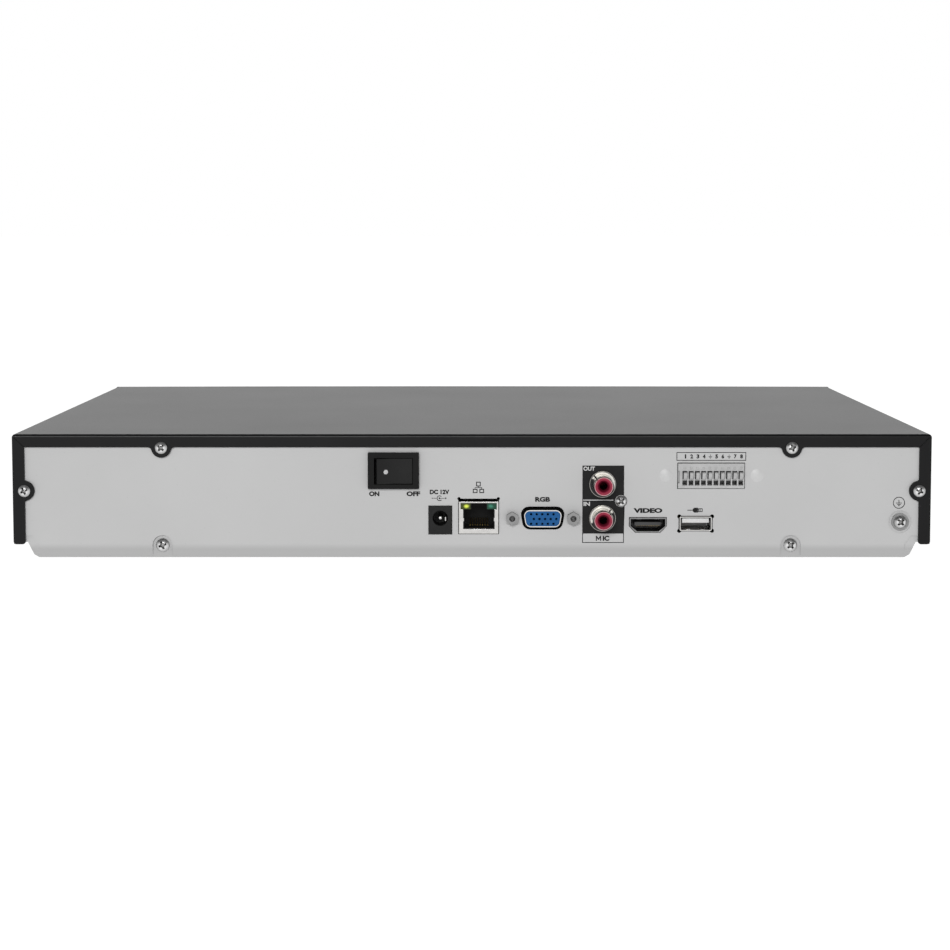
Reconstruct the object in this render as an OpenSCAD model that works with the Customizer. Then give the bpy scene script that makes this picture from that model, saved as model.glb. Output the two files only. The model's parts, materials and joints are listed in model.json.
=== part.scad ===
// Network video recorder, one rack unit high, with two drive bays.
// The connector side faces -Y and the front bezel faces +Y.
// Z = 0 is the surface under the feet. All sizes are in millimetres.

/* [Case] */
// Width across the sides of the top cover
body_w = 375; // [373:1:380]
// Height from the surface to the top of the cover
body_h = 53.4; // [53:0.1:55]
// Depth from the cover's rear lip to the ends of the bezel
body_d = 270; // [268:1:275]
// Thickness of the folded steel sheet
sheet_t = 1; // [0.9:0.05:1]
// Height of the rubber feet
foot_h = 2.6; // [2.5:0.1:3]
// Radius of the rubber feet
foot_r = 8; // [6:0.5:10]
// Width of the cover's folded rear lip at the sides
lip_w = 4.9; // [4.5:0.1:5]
// Width of the cover's folded rear lip along the top
top_lip_w = 5.3; // [4.5:0.1:5.5]
// Outside radius of the cover's folds
fold_r = 1.2; // [1:0.1:1.5]
// Height of the lower edge of the cover's sides
skirt_z = 8.2; // [8:0.1:9]

/* [Front] */
// How far the middle of the bezel stands forward of its ends
bezel_bow = 3.5; // [2:0.5:5]
// Thickness of the bezel at its ends
bezel_end_t = 2.5; // [2.5:0.1:3]
// Width of the smoked window in the bezel
window_w = 100; // [60:5:110]
// Height of the smoked window in the bezel
window_h = 12; // [8:1:14]

/* [Rear panel] */
// Distance that the cover screws' tabs reach from the screw's axis
tab_r = 4.1; // [4:0.1:4.5]
// Radius of the small fillets beside the tabs
tab_fillet_r = 1.6; // [1:0.1:2]
// Half the spacing of the two screws in the upper and the lower row
screw_x = 128.65; // [126:0.05:130]
// How far the middle of both rows lies to the right of the case's middle
screw_shift = 1.95; // [0:0.05:2.5]
// Height of the screws in the side lips
side_screw_z = 30.2; // [28:0.1:32]
// Height of the soft bend above the panel's slanted foot
bend_z = 7.8; // [7:0.1:8]
// How far the foot of the panel slants inwards
slant = 1; // [0.8:0.1:1]

/* [Ports] */
// Top face of the main board
board_z = 12.3; // [12.2:0.05:12.3]
// Distance that the audio barrels stand out from the panel
barrel_out = 9; // [7:0.5:9]
// Spacing of the two audio barrels
barrel_pitch = 14; // [14:0.1:14.2]
// Full swing of the power rocker in degrees
rocker_swing = 16; // [12:1:16]

/* [Terminal block] */
// Number of wire positions
ways = 10; // [8:1:10]
// Distance between wire positions
way_pitch = 2.54; // [2.5:0.01:2.54]
// Distance that a push lever travels
lever_travel = 1.2; // [0.8:0.1:1.4]

/* [Hard disk] */
// Radius of the platters
platter_r = 47.5; // [45:0.5:47.5]
// Length of the head arm from its pivot
arm_len = 52; // [50:1:52]

/* [Side fan] */
// Size of the square fan frame
fan_size = 40; // [40:1:41]
// Number of fan blades
blades = 7; // [5:1:9]

/* [Hidden] */
$fn = 48;
eps = 0.05;

// Case planes
lip_y = -(sheet_t - barrel_out + body_d + bezel_bow) / 2;
panel_y = lip_y + sheet_t;
inner_y = panel_y + sheet_t;
front_y = lip_y + body_d;
cover_front_y = front_y - bezel_end_t;
half_w = body_w / 2;
cover_in = half_w - sheet_t;
lip_in = half_w - lip_w;
lip_z = body_h - top_lip_w;
panel_top = body_h - fold_r - 0.1;
pan_z = foot_h;
pan_half = half_w - 4.6;
pan_floor_half = pan_half - 5.5;
pan_chamfer_z = pan_z + 8;
pan_y = panel_y + sheet_t + slant + 0.1;
pan_front_y = cover_front_y - 0.1;
rim_d = 12;
pad_depth = slant;
upper_screw_z = lip_z - 0.2;
lower_screw_z = bend_z - 0.1;

// Port centres on the panel, as [x, z]
rocker_at = [-32, 38.3];
jack_at = [-12.9, 18.9];
network_x = [-5.25, 10.85];
network_z = [12.55, 25.7];
plug_x = [-3.55, 9.35];
plug_z = [14.45, 22.5];
vga_at = [29, 18.9];
jackscrew_pitch = 24.99;
audio_at = [53.45, 18.85];
audio_screw_at = [61.05, 25.9];
hdmi_at = [72.05, 16.05];
usb_at = [91.6, 16.6];
terminal_x = [84.25, 111.3];
terminal_z = [31.2, 41.4];
way_x0 = 87;
way_z = 33.45;
lever_z = [35, 37.8];
rivet_at = [[79.35, 36.45], [116.57, 36.4]];
ground_at = [175.2, 17.4];

// Inside
board_t = 1.6;
board_x = [-58, 122];
board_y = [inner_y + 1.2, inner_y + 92];
alarm_z = terminal_z[0];
drive_at = [-119, 30];
drive_size = [101.6, 147, 26.1];
drive_z = pan_z + sheet_t + 4;
drive_hole_dx = 95.25 / 2;
drive_hole_dy = 76.2 / 2;
spindle_dy = 22;
hub_r = 12.5;
arm_dx = -28;
arm_dy = spindle_dy - 60;
fan_at = [-pan_half + sheet_t + 0.25, inner_y + 52, 31];
fan_depth = 10;
front_board_z = 16.6;
front_usb_x = -150;
shank_r = 1.45;
lip_corner_r = 1.2;
hole_r = 1.5;

black = [0.06, 0.06, 0.065];
grey = [0.78, 0.78, 0.79];
steel = [0.75, 0.75, 0.76];
board_green = [0.05, 0.22, 0.12];
gold = [0.85, 0.68, 0.3];

// ---------- shared shapes ----------

// Box between two corners given as ranges
module block(x, y, z) {
    translate([x[0], y[0], z[0]]) cube([x[1] - x[0], y[1] - y[0], z[1] - z[0]]);
}

// Cylinder along +Y at [x, z] between two y values
module rod(at, y, r) {
    translate([at[0], y[0], at[1]]) rotate([-90, 0, 0]) cylinder(h = y[1] - y[0], r = r);
}

// Flat outline in X and Z, given thickness along Y
module along_y(y) {
    translate([0, y[1], 0]) rotate([90, 0, 0]) linear_extrude(y[1] - y[0]) children();
}

// Flat outline in Y and Z, given thickness along X
module along_x(x) {
    translate([x[0], 0, 0]) rotate([90, 0, 90]) linear_extrude(x[1] - x[0]) children();
}

// Rectangle with round corners, as one flat outline
module round_rect(x, z, r) {
    translate([x[0] + r, z[0]]) square([x[1] - x[0] - 2 * r, z[1] - z[0]]);
    translate([x[0], z[0] + r]) square([x[1] - x[0], z[1] - z[0] - 2 * r]);
    for (cx = [x[0] + r, x[1] - r], cz = [z[0] + r, z[1] - r]) translate([cx, cz]) circle(r);
}

// Range of a length d to each side of c
function about(c, d) = [c - d, c + d];

// Range counted from c
function past(c, r) = [c + r[0], c + r[1]];

function mid(range) = (range[0] + range[1]) / 2;

function unit(v) = v / norm(v);

// Place across the case of the left or right screw of a row
function screw_at(side) = screw_shift + side * screw_x;

// Points of one rounded corner at b, between neighbours a and c
function round_corner(a, b, c, r, n) =
    let (
        u = unit(a - b),
        v = unit(c - b),
        half = acos(u * v) / 2,
        centre = b + unit(u + v) * r / sin(half),
        first = b + u * r / tan(half) - centre,
        last = b + v * r / tan(half) - centre,
        from = atan2(first[1], first[0]),
        sweep = (atan2(last[1], last[0]) - from + 540) % 360 - 180
    )
    [for (i = [0:n]) centre + r * [cos(from + sweep * i / n), sin(from + sweep * i / n)]];

// Convex outline with every corner rounded
function rounded(points, r, n = 5) =
    let (m = len(points))
    [for (k = [0:m - 1]) each round_corner(points[(k + m - 1) % m], points[k], points[(k + 1) % m], r, n)];

// Points along an arc
function arc(centre, r, from, to, n) =
    [for (i = [0:n]) let (a = from + (to - from) * i / n) centre + r * [cos(a), sin(a)]];

// Round tab that hangs from an edge lying at height d above its centre, with small fillets
module tab_outline(r, fillet_r, d) {
    reach = sqrt(pow(r + fillet_r, 2) - pow(d - fillet_r, 2));
    meet = atan2(d - fillet_r, reach);
    polygon(concat(
        [[-reach, d + 0.5], [reach, d + 0.5]],
        arc([reach, d - fillet_r], fillet_r, 90, 180 + meet, 5),
        arc([0, 0], r, meet - 6, -174 - meet, 24),
        arc([-reach, d - fillet_r], fillet_r, -meet, 90, 5)
    ));
}

// Pan-head screw with a cross recess. Its head stands out towards -Y from the plane y
module screw(at, y, head_r, head_h, length, turn) {
    edge_h = head_h * 0.3;
    dome_r = (pow(head_r, 2) + pow(head_h - edge_h, 2)) / (2 * (head_h - edge_h));
    translate([at[0], y, at[1]]) rotate([90, 0, 0]) difference() {
        union() {
            cylinder(h = edge_h, r = head_r);
            intersection() {
                translate([0, 0, edge_h]) cylinder(h = head_h, r = head_r);
                translate([0, 0, head_h - dome_r]) sphere(dome_r);
            }
            translate([0, 0, -length]) cylinder(h = length + eps, r = shank_r);
        }
        for (slot = [0, 90]) rotate([0, 0, turn + slot])
            block(head_r * 0.6 * [-1, 1], head_r * 0.17 * [-1, 1], head_h * [0.3, 1.3]);
        translate([0, 0, head_h * 0.2]) cylinder(h = head_h, r1 = head_r * 0.16, r2 = head_r * 0.44);
    }
}

// ---------- case ----------

module cover_solid(inset, y_end) {
    r = max(fold_r - inset, 0.15);
    intersection() {
        along_y([lip_y - 1, y_end])
            round_rect([inset - half_w, half_w - inset], [-20, body_h - inset], r);
        along_x([-half_w, half_w])
            round_rect([lip_y + inset, front_y + 60], [-20, body_h - inset], r);
    }
}

module cover_tabs() {
    for (side = [-1, 1]) {
        translate([screw_at(side), upper_screw_z]) tab_outline(tab_r, tab_fillet_r, lip_z - upper_screw_z);
        translate([side * (lip_in + 0.15), side_screw_z]) rotate(-side * 90)
            tab_outline(tab_r, tab_fillet_r, 0.15);
    }
}

// What rounding takes off a lower right corner that lies at the origin
function corner_cut(r) = concat([[0.5, -0.5], [0.5, r]], arc([-r, r], r, 0, -90, 6), [[-r, -0.5]]);

module top_cover() {
    vent_n = 12;
    vent_pitch = 5;
    color(black) difference() {
        union() {
            difference() {
                cover_solid(0, cover_front_y);
                cover_solid(sheet_t, front_y + 10);
                block([-lip_in, lip_in], [lip_y - 1, panel_y + eps], [0, lip_z]);
            }
            along_y([lip_y, panel_y]) cover_tabs();
        }
        block([-half_w - 1, half_w + 1], [lip_y - 2, front_y + 2], [-30, skirt_z]);
        for (side = [-1, 1]) {
            rod([screw_at(side), upper_screw_z], [lip_y - 1, panel_y + 1], hole_r);
            rod([side * (lip_in + 0.15), side_screw_z], [lip_y - 1, panel_y + 1], hole_r);
            translate([side * lip_in, 0, lip_z]) rotate([0, side * 45 - 90, 0])
                block([-0.1, lip_w + 2], [lip_y - 1, panel_y - 0.2], [-0.15, 0.15]);
            along_y([lip_y - 1, panel_y + eps]) {
                translate([side * half_w, skirt_z]) mirror([side < 0 ? 1 : 0, 0])
                    polygon(corner_cut(lip_corner_r));
                translate([side * lip_in, skirt_z]) mirror([side > 0 ? 1 : 0, 0])
                    polygon(corner_cut(lip_corner_r));
            }
            for (row = [-1, 1], i = [0:vent_n - 1])
                translate([side * half_w, fan_at[1] + (i - (vent_n - 1) / 2) * vent_pitch, fan_at[2] + row * 7])
                    block([-3, 3], [-1.1, 1.1], [-5.5, 5.5]);
        }
    }
}

// The same outline on both sides of the middle, given its right half from the bottom up
function both_sides(right) = concat(right, [for (i = [len(right) - 1:-1:0]) [-right[i][0], right[i][1]]]);

// Outline of the panel as seen along Y
module panel_outline() {
    polygon(both_sides([
        [pan_floor_half, pan_z], [pan_floor_half + 2, pan_z + 1.2], [pan_half - 1, skirt_z + 0.8],
        [cover_in - 0.2, skirt_z + 0.8], [cover_in - 0.2, panel_top]
    ]));
}

// Side view of the sheet: upright, then a soft bend into the slanted foot
module panel_profile() {
    steps = 4;
    bend_r = 6;
    angle = atan(slant / (bend_z - pan_z));
    bend = [for (i = [0:steps]) let (a = angle * i / steps)
        [bend_r * (1 - cos(a)), bend_z + 0.8 - bend_r * sin(a)]];
    drop = bend[steps][1] - pan_z;
    foot = bend[steps][0] + drop * tan(angle);
    polygon(concat(
        [[panel_y, panel_top]],
        [for (p = bend) [panel_y + p[0], p[1]]],
        [[panel_y + foot, pan_z], [panel_y + foot + sheet_t, pan_z]],
        [for (i = [steps:-1:0]) [panel_y + bend[i][0] + sheet_t, bend[i][1]]],
        [[inner_y, panel_top]]
    ));
}

// Pad pressed in around a lower screw: round above, straight sides below
module pad_outline(side, r) {
    low = pan_z - 1 - lower_screw_z;
    translate([screw_at(side), lower_screw_z])
        polygon(concat(arc([0, 0], r, 0, 180, 24), [[-r, low], [r, low]]));
}

// Corners pressed in below the cover's side lips
module corner_outline(side) {
    polygon([
        [side * (pan_half + 1), pan_z - 1], [side * (pan_half + 1), 11.6], [side * (pan_half - 3.1), 11.6],
        [side * (pan_half - 5.7), bend_z + 0.4], [side * (pan_half - 5.7), pan_z - 1]
    ]);
}

// D-shaped outline of the video socket
function d_points(w, h) = [
    [vga_at[0] - w / 2, vga_at[1] + h / 2], [vga_at[0] + w / 2, vga_at[1] + h / 2],
    [vga_at[0] + w / 2 - h * tan(10), vga_at[1] - h / 2], [vga_at[0] - w / 2 + h * tan(10), vga_at[1] - h / 2]
];

// Outline of the HDMI socket: square shoulders above, slanted below
function hdmi_points(w, h) = [
    [hdmi_at[0] - w / 2, hdmi_at[1] + h / 2], [hdmi_at[0] + w / 2, hdmi_at[1] + h / 2],
    [hdmi_at[0] + w / 2, hdmi_at[1] - h * 0.08], [hdmi_at[0] + w / 2 - 2.6, hdmi_at[1] - h / 2],
    [hdmi_at[0] - w / 2 + 2.6, hdmi_at[1] - h / 2], [hdmi_at[0] - w / 2, hdmi_at[1] - h * 0.08]
];

module rear_panel() {
    cut = [panel_y - 1, inner_y + 1];
    color(grey) difference() {
        union() {
            intersection() {
                along_x([-half_w, half_w]) panel_profile();
                along_y([panel_y - 1, pan_y + 2]) panel_outline();
            }
            for (side = [-1, 1]) intersection() {
                along_y([panel_y + pad_depth - eps, inner_y + pad_depth]) pad_outline(side, tab_r + sheet_t);
                block([-half_w, half_w], [panel_y, pan_y], [pan_z, body_h]);
            }
        }
        for (side = [-1, 1]) {
            along_y([panel_y - 1, panel_y + pad_depth]) pad_outline(side, tab_r);
            rod([screw_at(side), lower_screw_z], [panel_y - 1, pan_y + 3], hole_r);
            rod([screw_at(side), upper_screw_z], cut, hole_r);
            rod([side * (lip_in + 0.15), side_screw_z], cut, hole_r);
            along_y([panel_y - 1, panel_y + 0.5]) corner_outline(side);
        }
        block(about(rocker_at[0], 9.8), cut, about(rocker_at[1], 6.7));
        block(about(jack_at[0], 4.9), cut, [board_z - 0.2, 24.05]);
        block(network_x + 0.3 * [-1, 1], cut, [network_z[0] - 0.3, 26.9]);
        for (x = network_x) rod([x, 26.9], cut, 0.65);
        along_y(cut) polygon(rounded(d_points(19, 9.5), 3.2));
        for (side = [-1, 1]) rod([vga_at[0] + side * jackscrew_pitch / 2, vga_at[1]], cut, 1.7);
        for (k = [0, 1]) rod(audio_at + [0, k * barrel_pitch], cut, 5.55);
        rod(audio_screw_at, cut, hole_r);
        along_y(cut) polygon(hdmi_points(15.5, 6.4));
        block(about(usb_at[0], 6.95), cut, about(usb_at[1], 3.2));
        for (sx = [-1, 1], sz = [-1, 1]) rod(usb_at + [6.7 * sx, 2.95 * sz], cut, 0.85);
        block(terminal_x + terminal_gap * [-1, 1], cut, terminal_z + terminal_gap * [-1, 1]);
        for (at = rivet_at) rod(at, cut, hole_r);
        rod(ground_at, cut, hole_r);
        difference() {
            rod(ground_at, [panel_y - 1, panel_y + 0.2], 4.7);
            rod(ground_at, [panel_y - 1.5, panel_y + 0.5], 4.3);
        }
    }
}

module drive_holes_at() {
    for (bay = [-1, 1], sx = [-1, 1], sy = [-1, 1])
        translate([bay * abs(drive_at[0]) + sx * drive_hole_dx, drive_at[1] + sy * drive_hole_dy, pan_z])
            children();
}

module bottom_pan() {
    wall_top = 48;
    slot_n = 9;
    color(grey) difference() {
        union() {
            difference() {
                along_y([pan_y, pan_front_y]) polygon(both_sides([
                    [pan_floor_half, pan_z], [pan_floor_half + 2, pan_z + 1.2], [pan_half, pan_chamfer_z],
                    [pan_half, wall_top]
                ]));
                along_y([pan_y - 1, pan_front_y + 1]) polygon(both_sides([
                    [pan_floor_half - 0.4, pan_z + sheet_t], [pan_floor_half + 1.2, pan_z + 2],
                    [pan_half - sheet_t, pan_chamfer_z + 0.3], [pan_half - sheet_t, wall_top + 1]
                ]));
            }
            block((pan_floor_half - 6) * [-1, 1], [pan_y, pan_y + sheet_t], [pan_z, board_z - 2.5]);
            for (side = [-1, 1])
                block(about(screw_at(side), 7), [pan_y, pan_y + sheet_t], [pan_z, 15]);
            block([-pan_floor_half + 6, pan_floor_half - 6],
                [cover_front_y - rim_d - 2 * sheet_t, cover_front_y - rim_d - sheet_t], [pan_z, 14]);
            drive_holes_at() cylinder(h = drive_z - pan_z, r = 6);
        }
        drive_holes_at() translate([0, 0, -1]) cylinder(h = drive_z - pan_z, r = 5);
        drive_holes_at() cylinder(h = 20, r = hole_r + 0.2);
        for (side = [-1, 1]) {
            rod([screw_at(side), lower_screw_z], [pan_y - 1, pan_y + 3], hole_r);
            block(about(side * pan_half, 3), [pan_y - 1, pan_y + 5], about(side_screw_z, 4));
            fan_opening(side);
        }
        for (bay = [-1, 1], i = [0:slot_n - 1])
            block(about(bay * abs(drive_at[0]), 30), about(drive_at[1] + (i - 4) * 7, 1.2), about(pan_z, 2));
    }
}

// Round air opening in the pan's wall beside the fan
module fan_opening(side) {
    translate([side * pan_half, fan_at[1], fan_at[2]]) rotate([0, 90, 0])
        cylinder(h = 6, r = 16, center = true);
}

module feet() {
    color(black) for (sx = [-1, 1], y = [lip_y + 34, front_y - 40])
        translate([sx * 150, y, 0]) difference() {
            cylinder(h = foot_h, r1 = foot_r - 0.6, r2 = foot_r);
            translate([0, 0, -1]) cylinder(h = 1.8, r = foot_r * 0.45);
        }
}

module cover_screws() {
    color(steel) for (side = [-1, 1]) {
        screw([screw_at(side), upper_screw_z], lip_y, 2.45, 1.6, 6, 35 - side * 15);
        screw([side * (lip_in + 0.15), side_screw_z], lip_y, 2.45, 1.6, 6, 45 + side * 20);
    }
}

module panel_screws() {
    color(steel) for (side = [-1, 1])
        screw([screw_at(side), lower_screw_z], panel_y + pad_depth, 2.7, 1.8, 5, 30 + side * 10);
}

module bracket_rivets() {
    head_r = 2.7;
    head_h = 0.5;
    dome_r = (head_r * head_r + head_h * head_h) / (2 * head_h);
    color(grey) for (at = rivet_at) translate([at[0], panel_y, at[1]]) rotate([90, 0, 0]) {
        intersection() {
            cylinder(h = 2, r = head_r);
            translate([0, 0, head_h - dome_r]) sphere(dome_r);
        }
        translate([0, 0, -sheet_t - 1.5]) cylinder(h = sheet_t + 1.5 + eps, r = shank_r);
    }
}

// ---------- front ----------

// Forward edge of the bezel: an arc with the given middle height over its chord
function bow_y(x) = front_y + bezel_bow * (1 - pow(x / half_w, 2));

module front_bezel() {
    steps = 30;
    face = [for (i = [0:steps]) let (x = half_w - body_w * i / steps) [x, bow_y(x)]];
    inner_w = pan_floor_half - 1.5;
    rim_z = [foot_h + sheet_t + 0.2, body_h - sheet_t - 0.4];
    color(black) difference() {
        union() {
            translate([0, 0, foot_h]) linear_extrude(body_h - foot_h)
                polygon(concat([[-half_w, cover_front_y], [half_w, cover_front_y]], face));
            difference() {
                block([-inner_w, inner_w], [cover_front_y - rim_d, cover_front_y + eps], rim_z);
                block([2 - inner_w, inner_w - 2], [cover_front_y - rim_d - 1, cover_front_y + 1],
                    rim_z + [2, -2]);
            }
        }
        block([-half_w + 8, half_w - 8], [cover_front_y - 1, front_y - 1], [foot_h + 6, body_h - 4]);
        block(window_w / 2 * [-1, 1], [bow_y(window_w / 2) - 1.6, front_y + 20], about(30, window_h / 2));
        block(about(front_usb_x, 7), [front_y - 5, front_y + 20], past(front_board_z, [-0.2, 6.2]));
        for (x = [70:10:90]) rod([x, 19.5], [front_y - 5, front_y + 20], 1.55);
    }
}

module front_window() {
    color([0.03, 0.03, 0.035]) along_y(past(bow_y(window_w / 2), [-1.6, -0.1]))
        round_rect((window_w / 2 - 0.15) * [-1, 1], about(30, (window_h / 2 - 0.15)), 0.6);
}

module status_lenses() {
    color([0.85, 0.9, 0.9]) for (x = [70:10:90]) {
        rod([x, 19.5], [front_y - 6, bow_y(x) + 0.15], 1.5);
        rod([x, 19.5], [front_y - 7.5, front_y - 6 + eps], 2.2);
    }
}

// Four-walled socket shell for a USB plug, its mouth at y
module usb_socket_shell(at, y, depth, dir) {
    w = 6.55;
    h = 2.9;
    wall = 0.35;
    span = dir > 0 ? [y, y + depth] : [y - depth, y];
    mouth = dir > 0 ? [y - 1, y + depth - wall] : [y - depth + wall, y + 1];
    difference() {
        along_y(span) round_rect(about(at[0], w), about(at[1], h), 0.6);
        along_y(mouth) round_rect(about(at[0], (w - wall)), about(at[1], (h - wall)), 0.3);
        for (side = [-1, 1])
            block(about(at[0] + side * 3.2, 0.5), dir > 0 ? past(y, [3, 7]) : [y - 7, y - 3],
                past(at[1] + h, [-1, 1]));
    }
}

module front_usb_shell() {
    color(steel) usb_socket_shell([front_usb_x, front_board_z + 2.9], bow_y(front_usb_x) - 0.6, 14, -1);
}

module front_usb_tongue() {
    y = bow_y(front_usb_x) - 0.6;
    z = front_board_z + 2.9;
    color("white") {
        block(about(front_usb_x, 5.5), [y - 12, y - 1.2], past(z, [-0.3, 1.6]));
        block(about(front_usb_x, 6.1), [y - 13.6, y - 12 + eps], about(z, 2.4));
    }
}

module front_board() {
    color(board_green) block([-166, 96], [front_y - 28, front_y - 5], past(front_board_z, [-board_t, 0]));
}

// ---------- power ----------

rocker_half = [7.65, 5.15];
pivot_y = panel_y + 1.3;
face_d = 2.5;

module rocker_housing() {
    wall = rocker_half + [0.25, 0.25];
    color(black) difference() {
        union() {
            along_y([panel_y - 1.8, panel_y])
                round_rect(about(rocker_at[0], 10.45), past(rocker_at[1], [-7.25, 7.7]), 0.4);
            block(about(rocker_at[0], 9.7), [panel_y, panel_y + 15], about(rocker_at[1], 6.6));
        }
        block(about(rocker_at[0], wall[0]), [panel_y - 3, panel_y + 9], about(rocker_at[1], wall[1]));
        translate([rocker_at[0], pivot_y, rocker_at[1] - rocker_half[1] - 0.95])
            cylinder(h = 2 * rocker_half[1] + 1.9, r = 0.85);
    }
}

function turned(p, a) = [p[0] * cos(a) - p[1] * sin(a), p[0] * sin(a) + p[1] * cos(a)];

module rocker() {
    tilt = rocker_swing / 2;
    crown = [-rocker_half[0], -face_d];
    heel = [-rocker_half[0], -0.3];
    left = [turned(heel, tilt), turned(crown, tilt)];
    outline = [
        left[0], left[1], [0, -face_d / cos(tilt)], [-left[1][0], left[1][1]], [-left[0][0], left[0][1]],
        [2.2, 0.6], [1.2, 1.4], [-1.2, 1.4], [-2.2, 0.6]
    ];
    color(black) translate([rocker_at[0], pivot_y, rocker_at[1]]) rotate([0, 0, tilt]) {
        translate([0, 0, -rocker_half[1]]) linear_extrude(2 * rocker_half[1]) polygon(outline);
        translate([0, 0, -rocker_half[1] - 0.85]) cylinder(h = 2 * rocker_half[1] + 1.7, r = 0.8);
    }
}

module dc_jack_body() {
    color(black) difference() {
        union() {
            block(about(jack_at[0], 4.7), [panel_y - 0.4, panel_y + 3.2], [board_z, 23.85]);
            block(about(jack_at[0], 4.4), [panel_y + 3.1, panel_y + 14], [board_z, jack_at[1] + 1]);
            intersection() {
                rod([jack_at[0], jack_at[1]], [panel_y + 3.1, panel_y + 14], 4.4);
                block(about(jack_at[0], 4.4), [panel_y + 3, panel_y + 15], [board_z, 24]);
            }
        }
        rod(jack_at, [panel_y - 1, panel_y + 10.5], 3.15);
    }
}

module dc_jack_pin() {
    color(steel) {
        rod(jack_at, [panel_y + 1.2, panel_y + 10.5], 1);
        translate([jack_at[0], panel_y + 1.2, jack_at[1]]) sphere(1);
    }
}

module dc_jack_spring() {
    color(steel)
        block(past(jack_at[0], [1.9, 2.3]), past(panel_y, [1.6, 10.5]), past(jack_at[1], [-1.4, 0.2]));
}

// ---------- network ----------

module network_shell() {
    wall = 0.5;
    top_x = network_x + 0.65 * [1, -1];
    color(steel) difference() {
        union() {
            block(network_x, [panel_y - 0.6, panel_y + 15], network_z);
            for (x = plug_x) block(about(x, 0.3), [panel_y - 0.6, panel_y - 0.1], [17.6, 19]);
        }
        block(network_x + wall * [1, -1], [panel_y - 0.1, panel_y + 16], network_z + wall * [1, -1]);
        difference() {
            block(plug_x, [panel_y - 1, panel_y + 1], plug_z + [0, eps]);
            for (x = plug_x) block(about(x, 0.3), [panel_y - 2, panel_y + 2], [17.6, 19]);
        }
        block(top_x, [panel_y - 1, panel_y + 1], [plug_z[1], 25.15]);
    }
}

light_x = [[-4.45, -0.55], [6.25, 10.15]];
light_z = [22.6, 25.05];

module network_insert() {
    cavity_x = [plug_x[0] + 0.5, plug_x[1] - 0.5];
    latch_x = about(mid(plug_x), 2.9);
    color(black) difference() {
        block(network_x + 0.5 * [1, -1], [panel_y - 0.1, panel_y + 14.8], network_z + 0.5 * [1, -1]);
        block(cavity_x, [panel_y - 1, panel_y + 12.5], [plug_z[0] + 0.4, plug_z[1]]);
        block(latch_x, [panel_y - 1, panel_y + 9], [plug_z[1] - eps, 25]);
        for (x = light_x) block(x, [panel_y - 1, panel_y + 4], light_z);
    }
}

module network_contacts() {
    color(gold) for (i = [0:7])
        translate([mid(plug_x) + (i - 3.5) * 1.02, panel_y + 3.2, plug_z[0] + 1]) rotate([12, 0, 0])
            block(0.22 * [-1, 1], [0, 8.6], [0, 0.35]);
}

module network_lights() {
    for (k = [0, 1]) color(k == 0 ? [0.75, 0.85, 0.2] : [0.1, 0.6, 0.4])
        block(light_x[k], [panel_y - 0.35, panel_y + 4], light_z);
}

// ---------- video and audio ----------

module vga_shell() {
    y = panel_y - 2.2;
    color(steel) difference() {
        union() {
            along_y([y, inner_y + 1.6]) polygon(rounded(d_points(16.1, 7), 2.3));
            block(about(vga_at[0], 15.4), past(inner_y, [1.5, 2.5]), [board_z + 0.2, 24.9]);
        }
        along_y([y - 1, inner_y + 3]) polygon(rounded(d_points(15.3, 6.2), 1.9));
        for (side = [-1, 1])
            rod(vga_at + [side * jackscrew_pitch / 2, 0], past(inner_y, [1, 3]), 1.7);
    }
}

module vga_insert() {
    pin_pitch = 2.29;
    row_pitch = 1.98;
    pins_at = vga_at + [0.35, -0.15];
    color([0.05, 0.32, 0.62]) difference() {
        union() {
            along_y([panel_y - 2, inner_y + 2.6]) polygon(rounded(d_points(15.2, 6.1), 1.85));
            block(about(vga_at[0], 8.8), past(inner_y, [2.55, 10]), [board_z, 24.5]);
        }
        for (row = [-1:1], i = [-2:2])
            rod(pins_at + [i * pin_pitch + (row == 0 ? 0.57 : -0.57), row * row_pitch],
                past(panel_y, [-3, 3]), 0.5);
    }
}

module vga_jackscrews() {
    color(steel) for (side = [-1, 1]) {
        at = [vga_at[0] + side * jackscrew_pitch / 2, vga_at[1]];
        difference() {
            union() {
                translate([at[0], panel_y, at[1]]) rotate([90, 0, 0]) rotate([0, 0, 30])
                    cylinder(h = 2.6, r = 4.75 / sqrt(3), $fn = 6);
                rod(at, [panel_y - eps, inner_y + 4], 1.6);
            }
            rod(at, past(panel_y, [-3, 2]), 1.25);
        }
    }
}

module audio_block() {
    ear_x = [audio_at[0] + 6.15, audio_screw_at[0] + 2.7];
    block_top = audio_at[1] + barrel_pitch + 6.5;
    color(black) difference() {
        union() {
            block(about(audio_at[0], 6.2), past(inner_y, [0.1, 14]), [board_z, block_top]);
            block(ear_x, past(inner_y, [0.1, 6]), about(audio_screw_at[1], 3));
        }
        for (k = [0, 1]) rod(audio_at + [0, k * barrel_pitch], past(inner_y, [-1, 9]), 4.2);
        rod(audio_screw_at, past(inner_y, [-1, 7]), hole_r);
    }
}

barrel_bore = 3.5;
tip = panel_y - barrel_out;

module audio_barrels() {
    color(steel) for (k = [0, 1]) {
        at = audio_at + [0, k * barrel_pitch];
        turn = k == 1 ? 45 : 135;
        difference() {
            union() {
                rod(at, [panel_y - 0.9, inner_y + 0.1], 5.4);
                rod(at, [tip + 0.4, inner_y + 9], 4.15);
                translate([at[0], tip, at[1]]) rotate([-90, 0, 0]) cylinder(h = 0.4, r1 = 3.85, r2 = 4.15);
            }
            rod(at, [tip - 1, inner_y + 10], barrel_bore);
            translate([at[0], 0, at[1]]) rotate([0, turn, 0]) {
                block([-6, -3.2], [panel_y - 2, panel_y - 0.3], [-0.4, 0.4]);
                block([-4.5, -3.2], [tip - 1, panel_y], [-0.2, 0.2]);
            }
        }
    }
}

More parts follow.
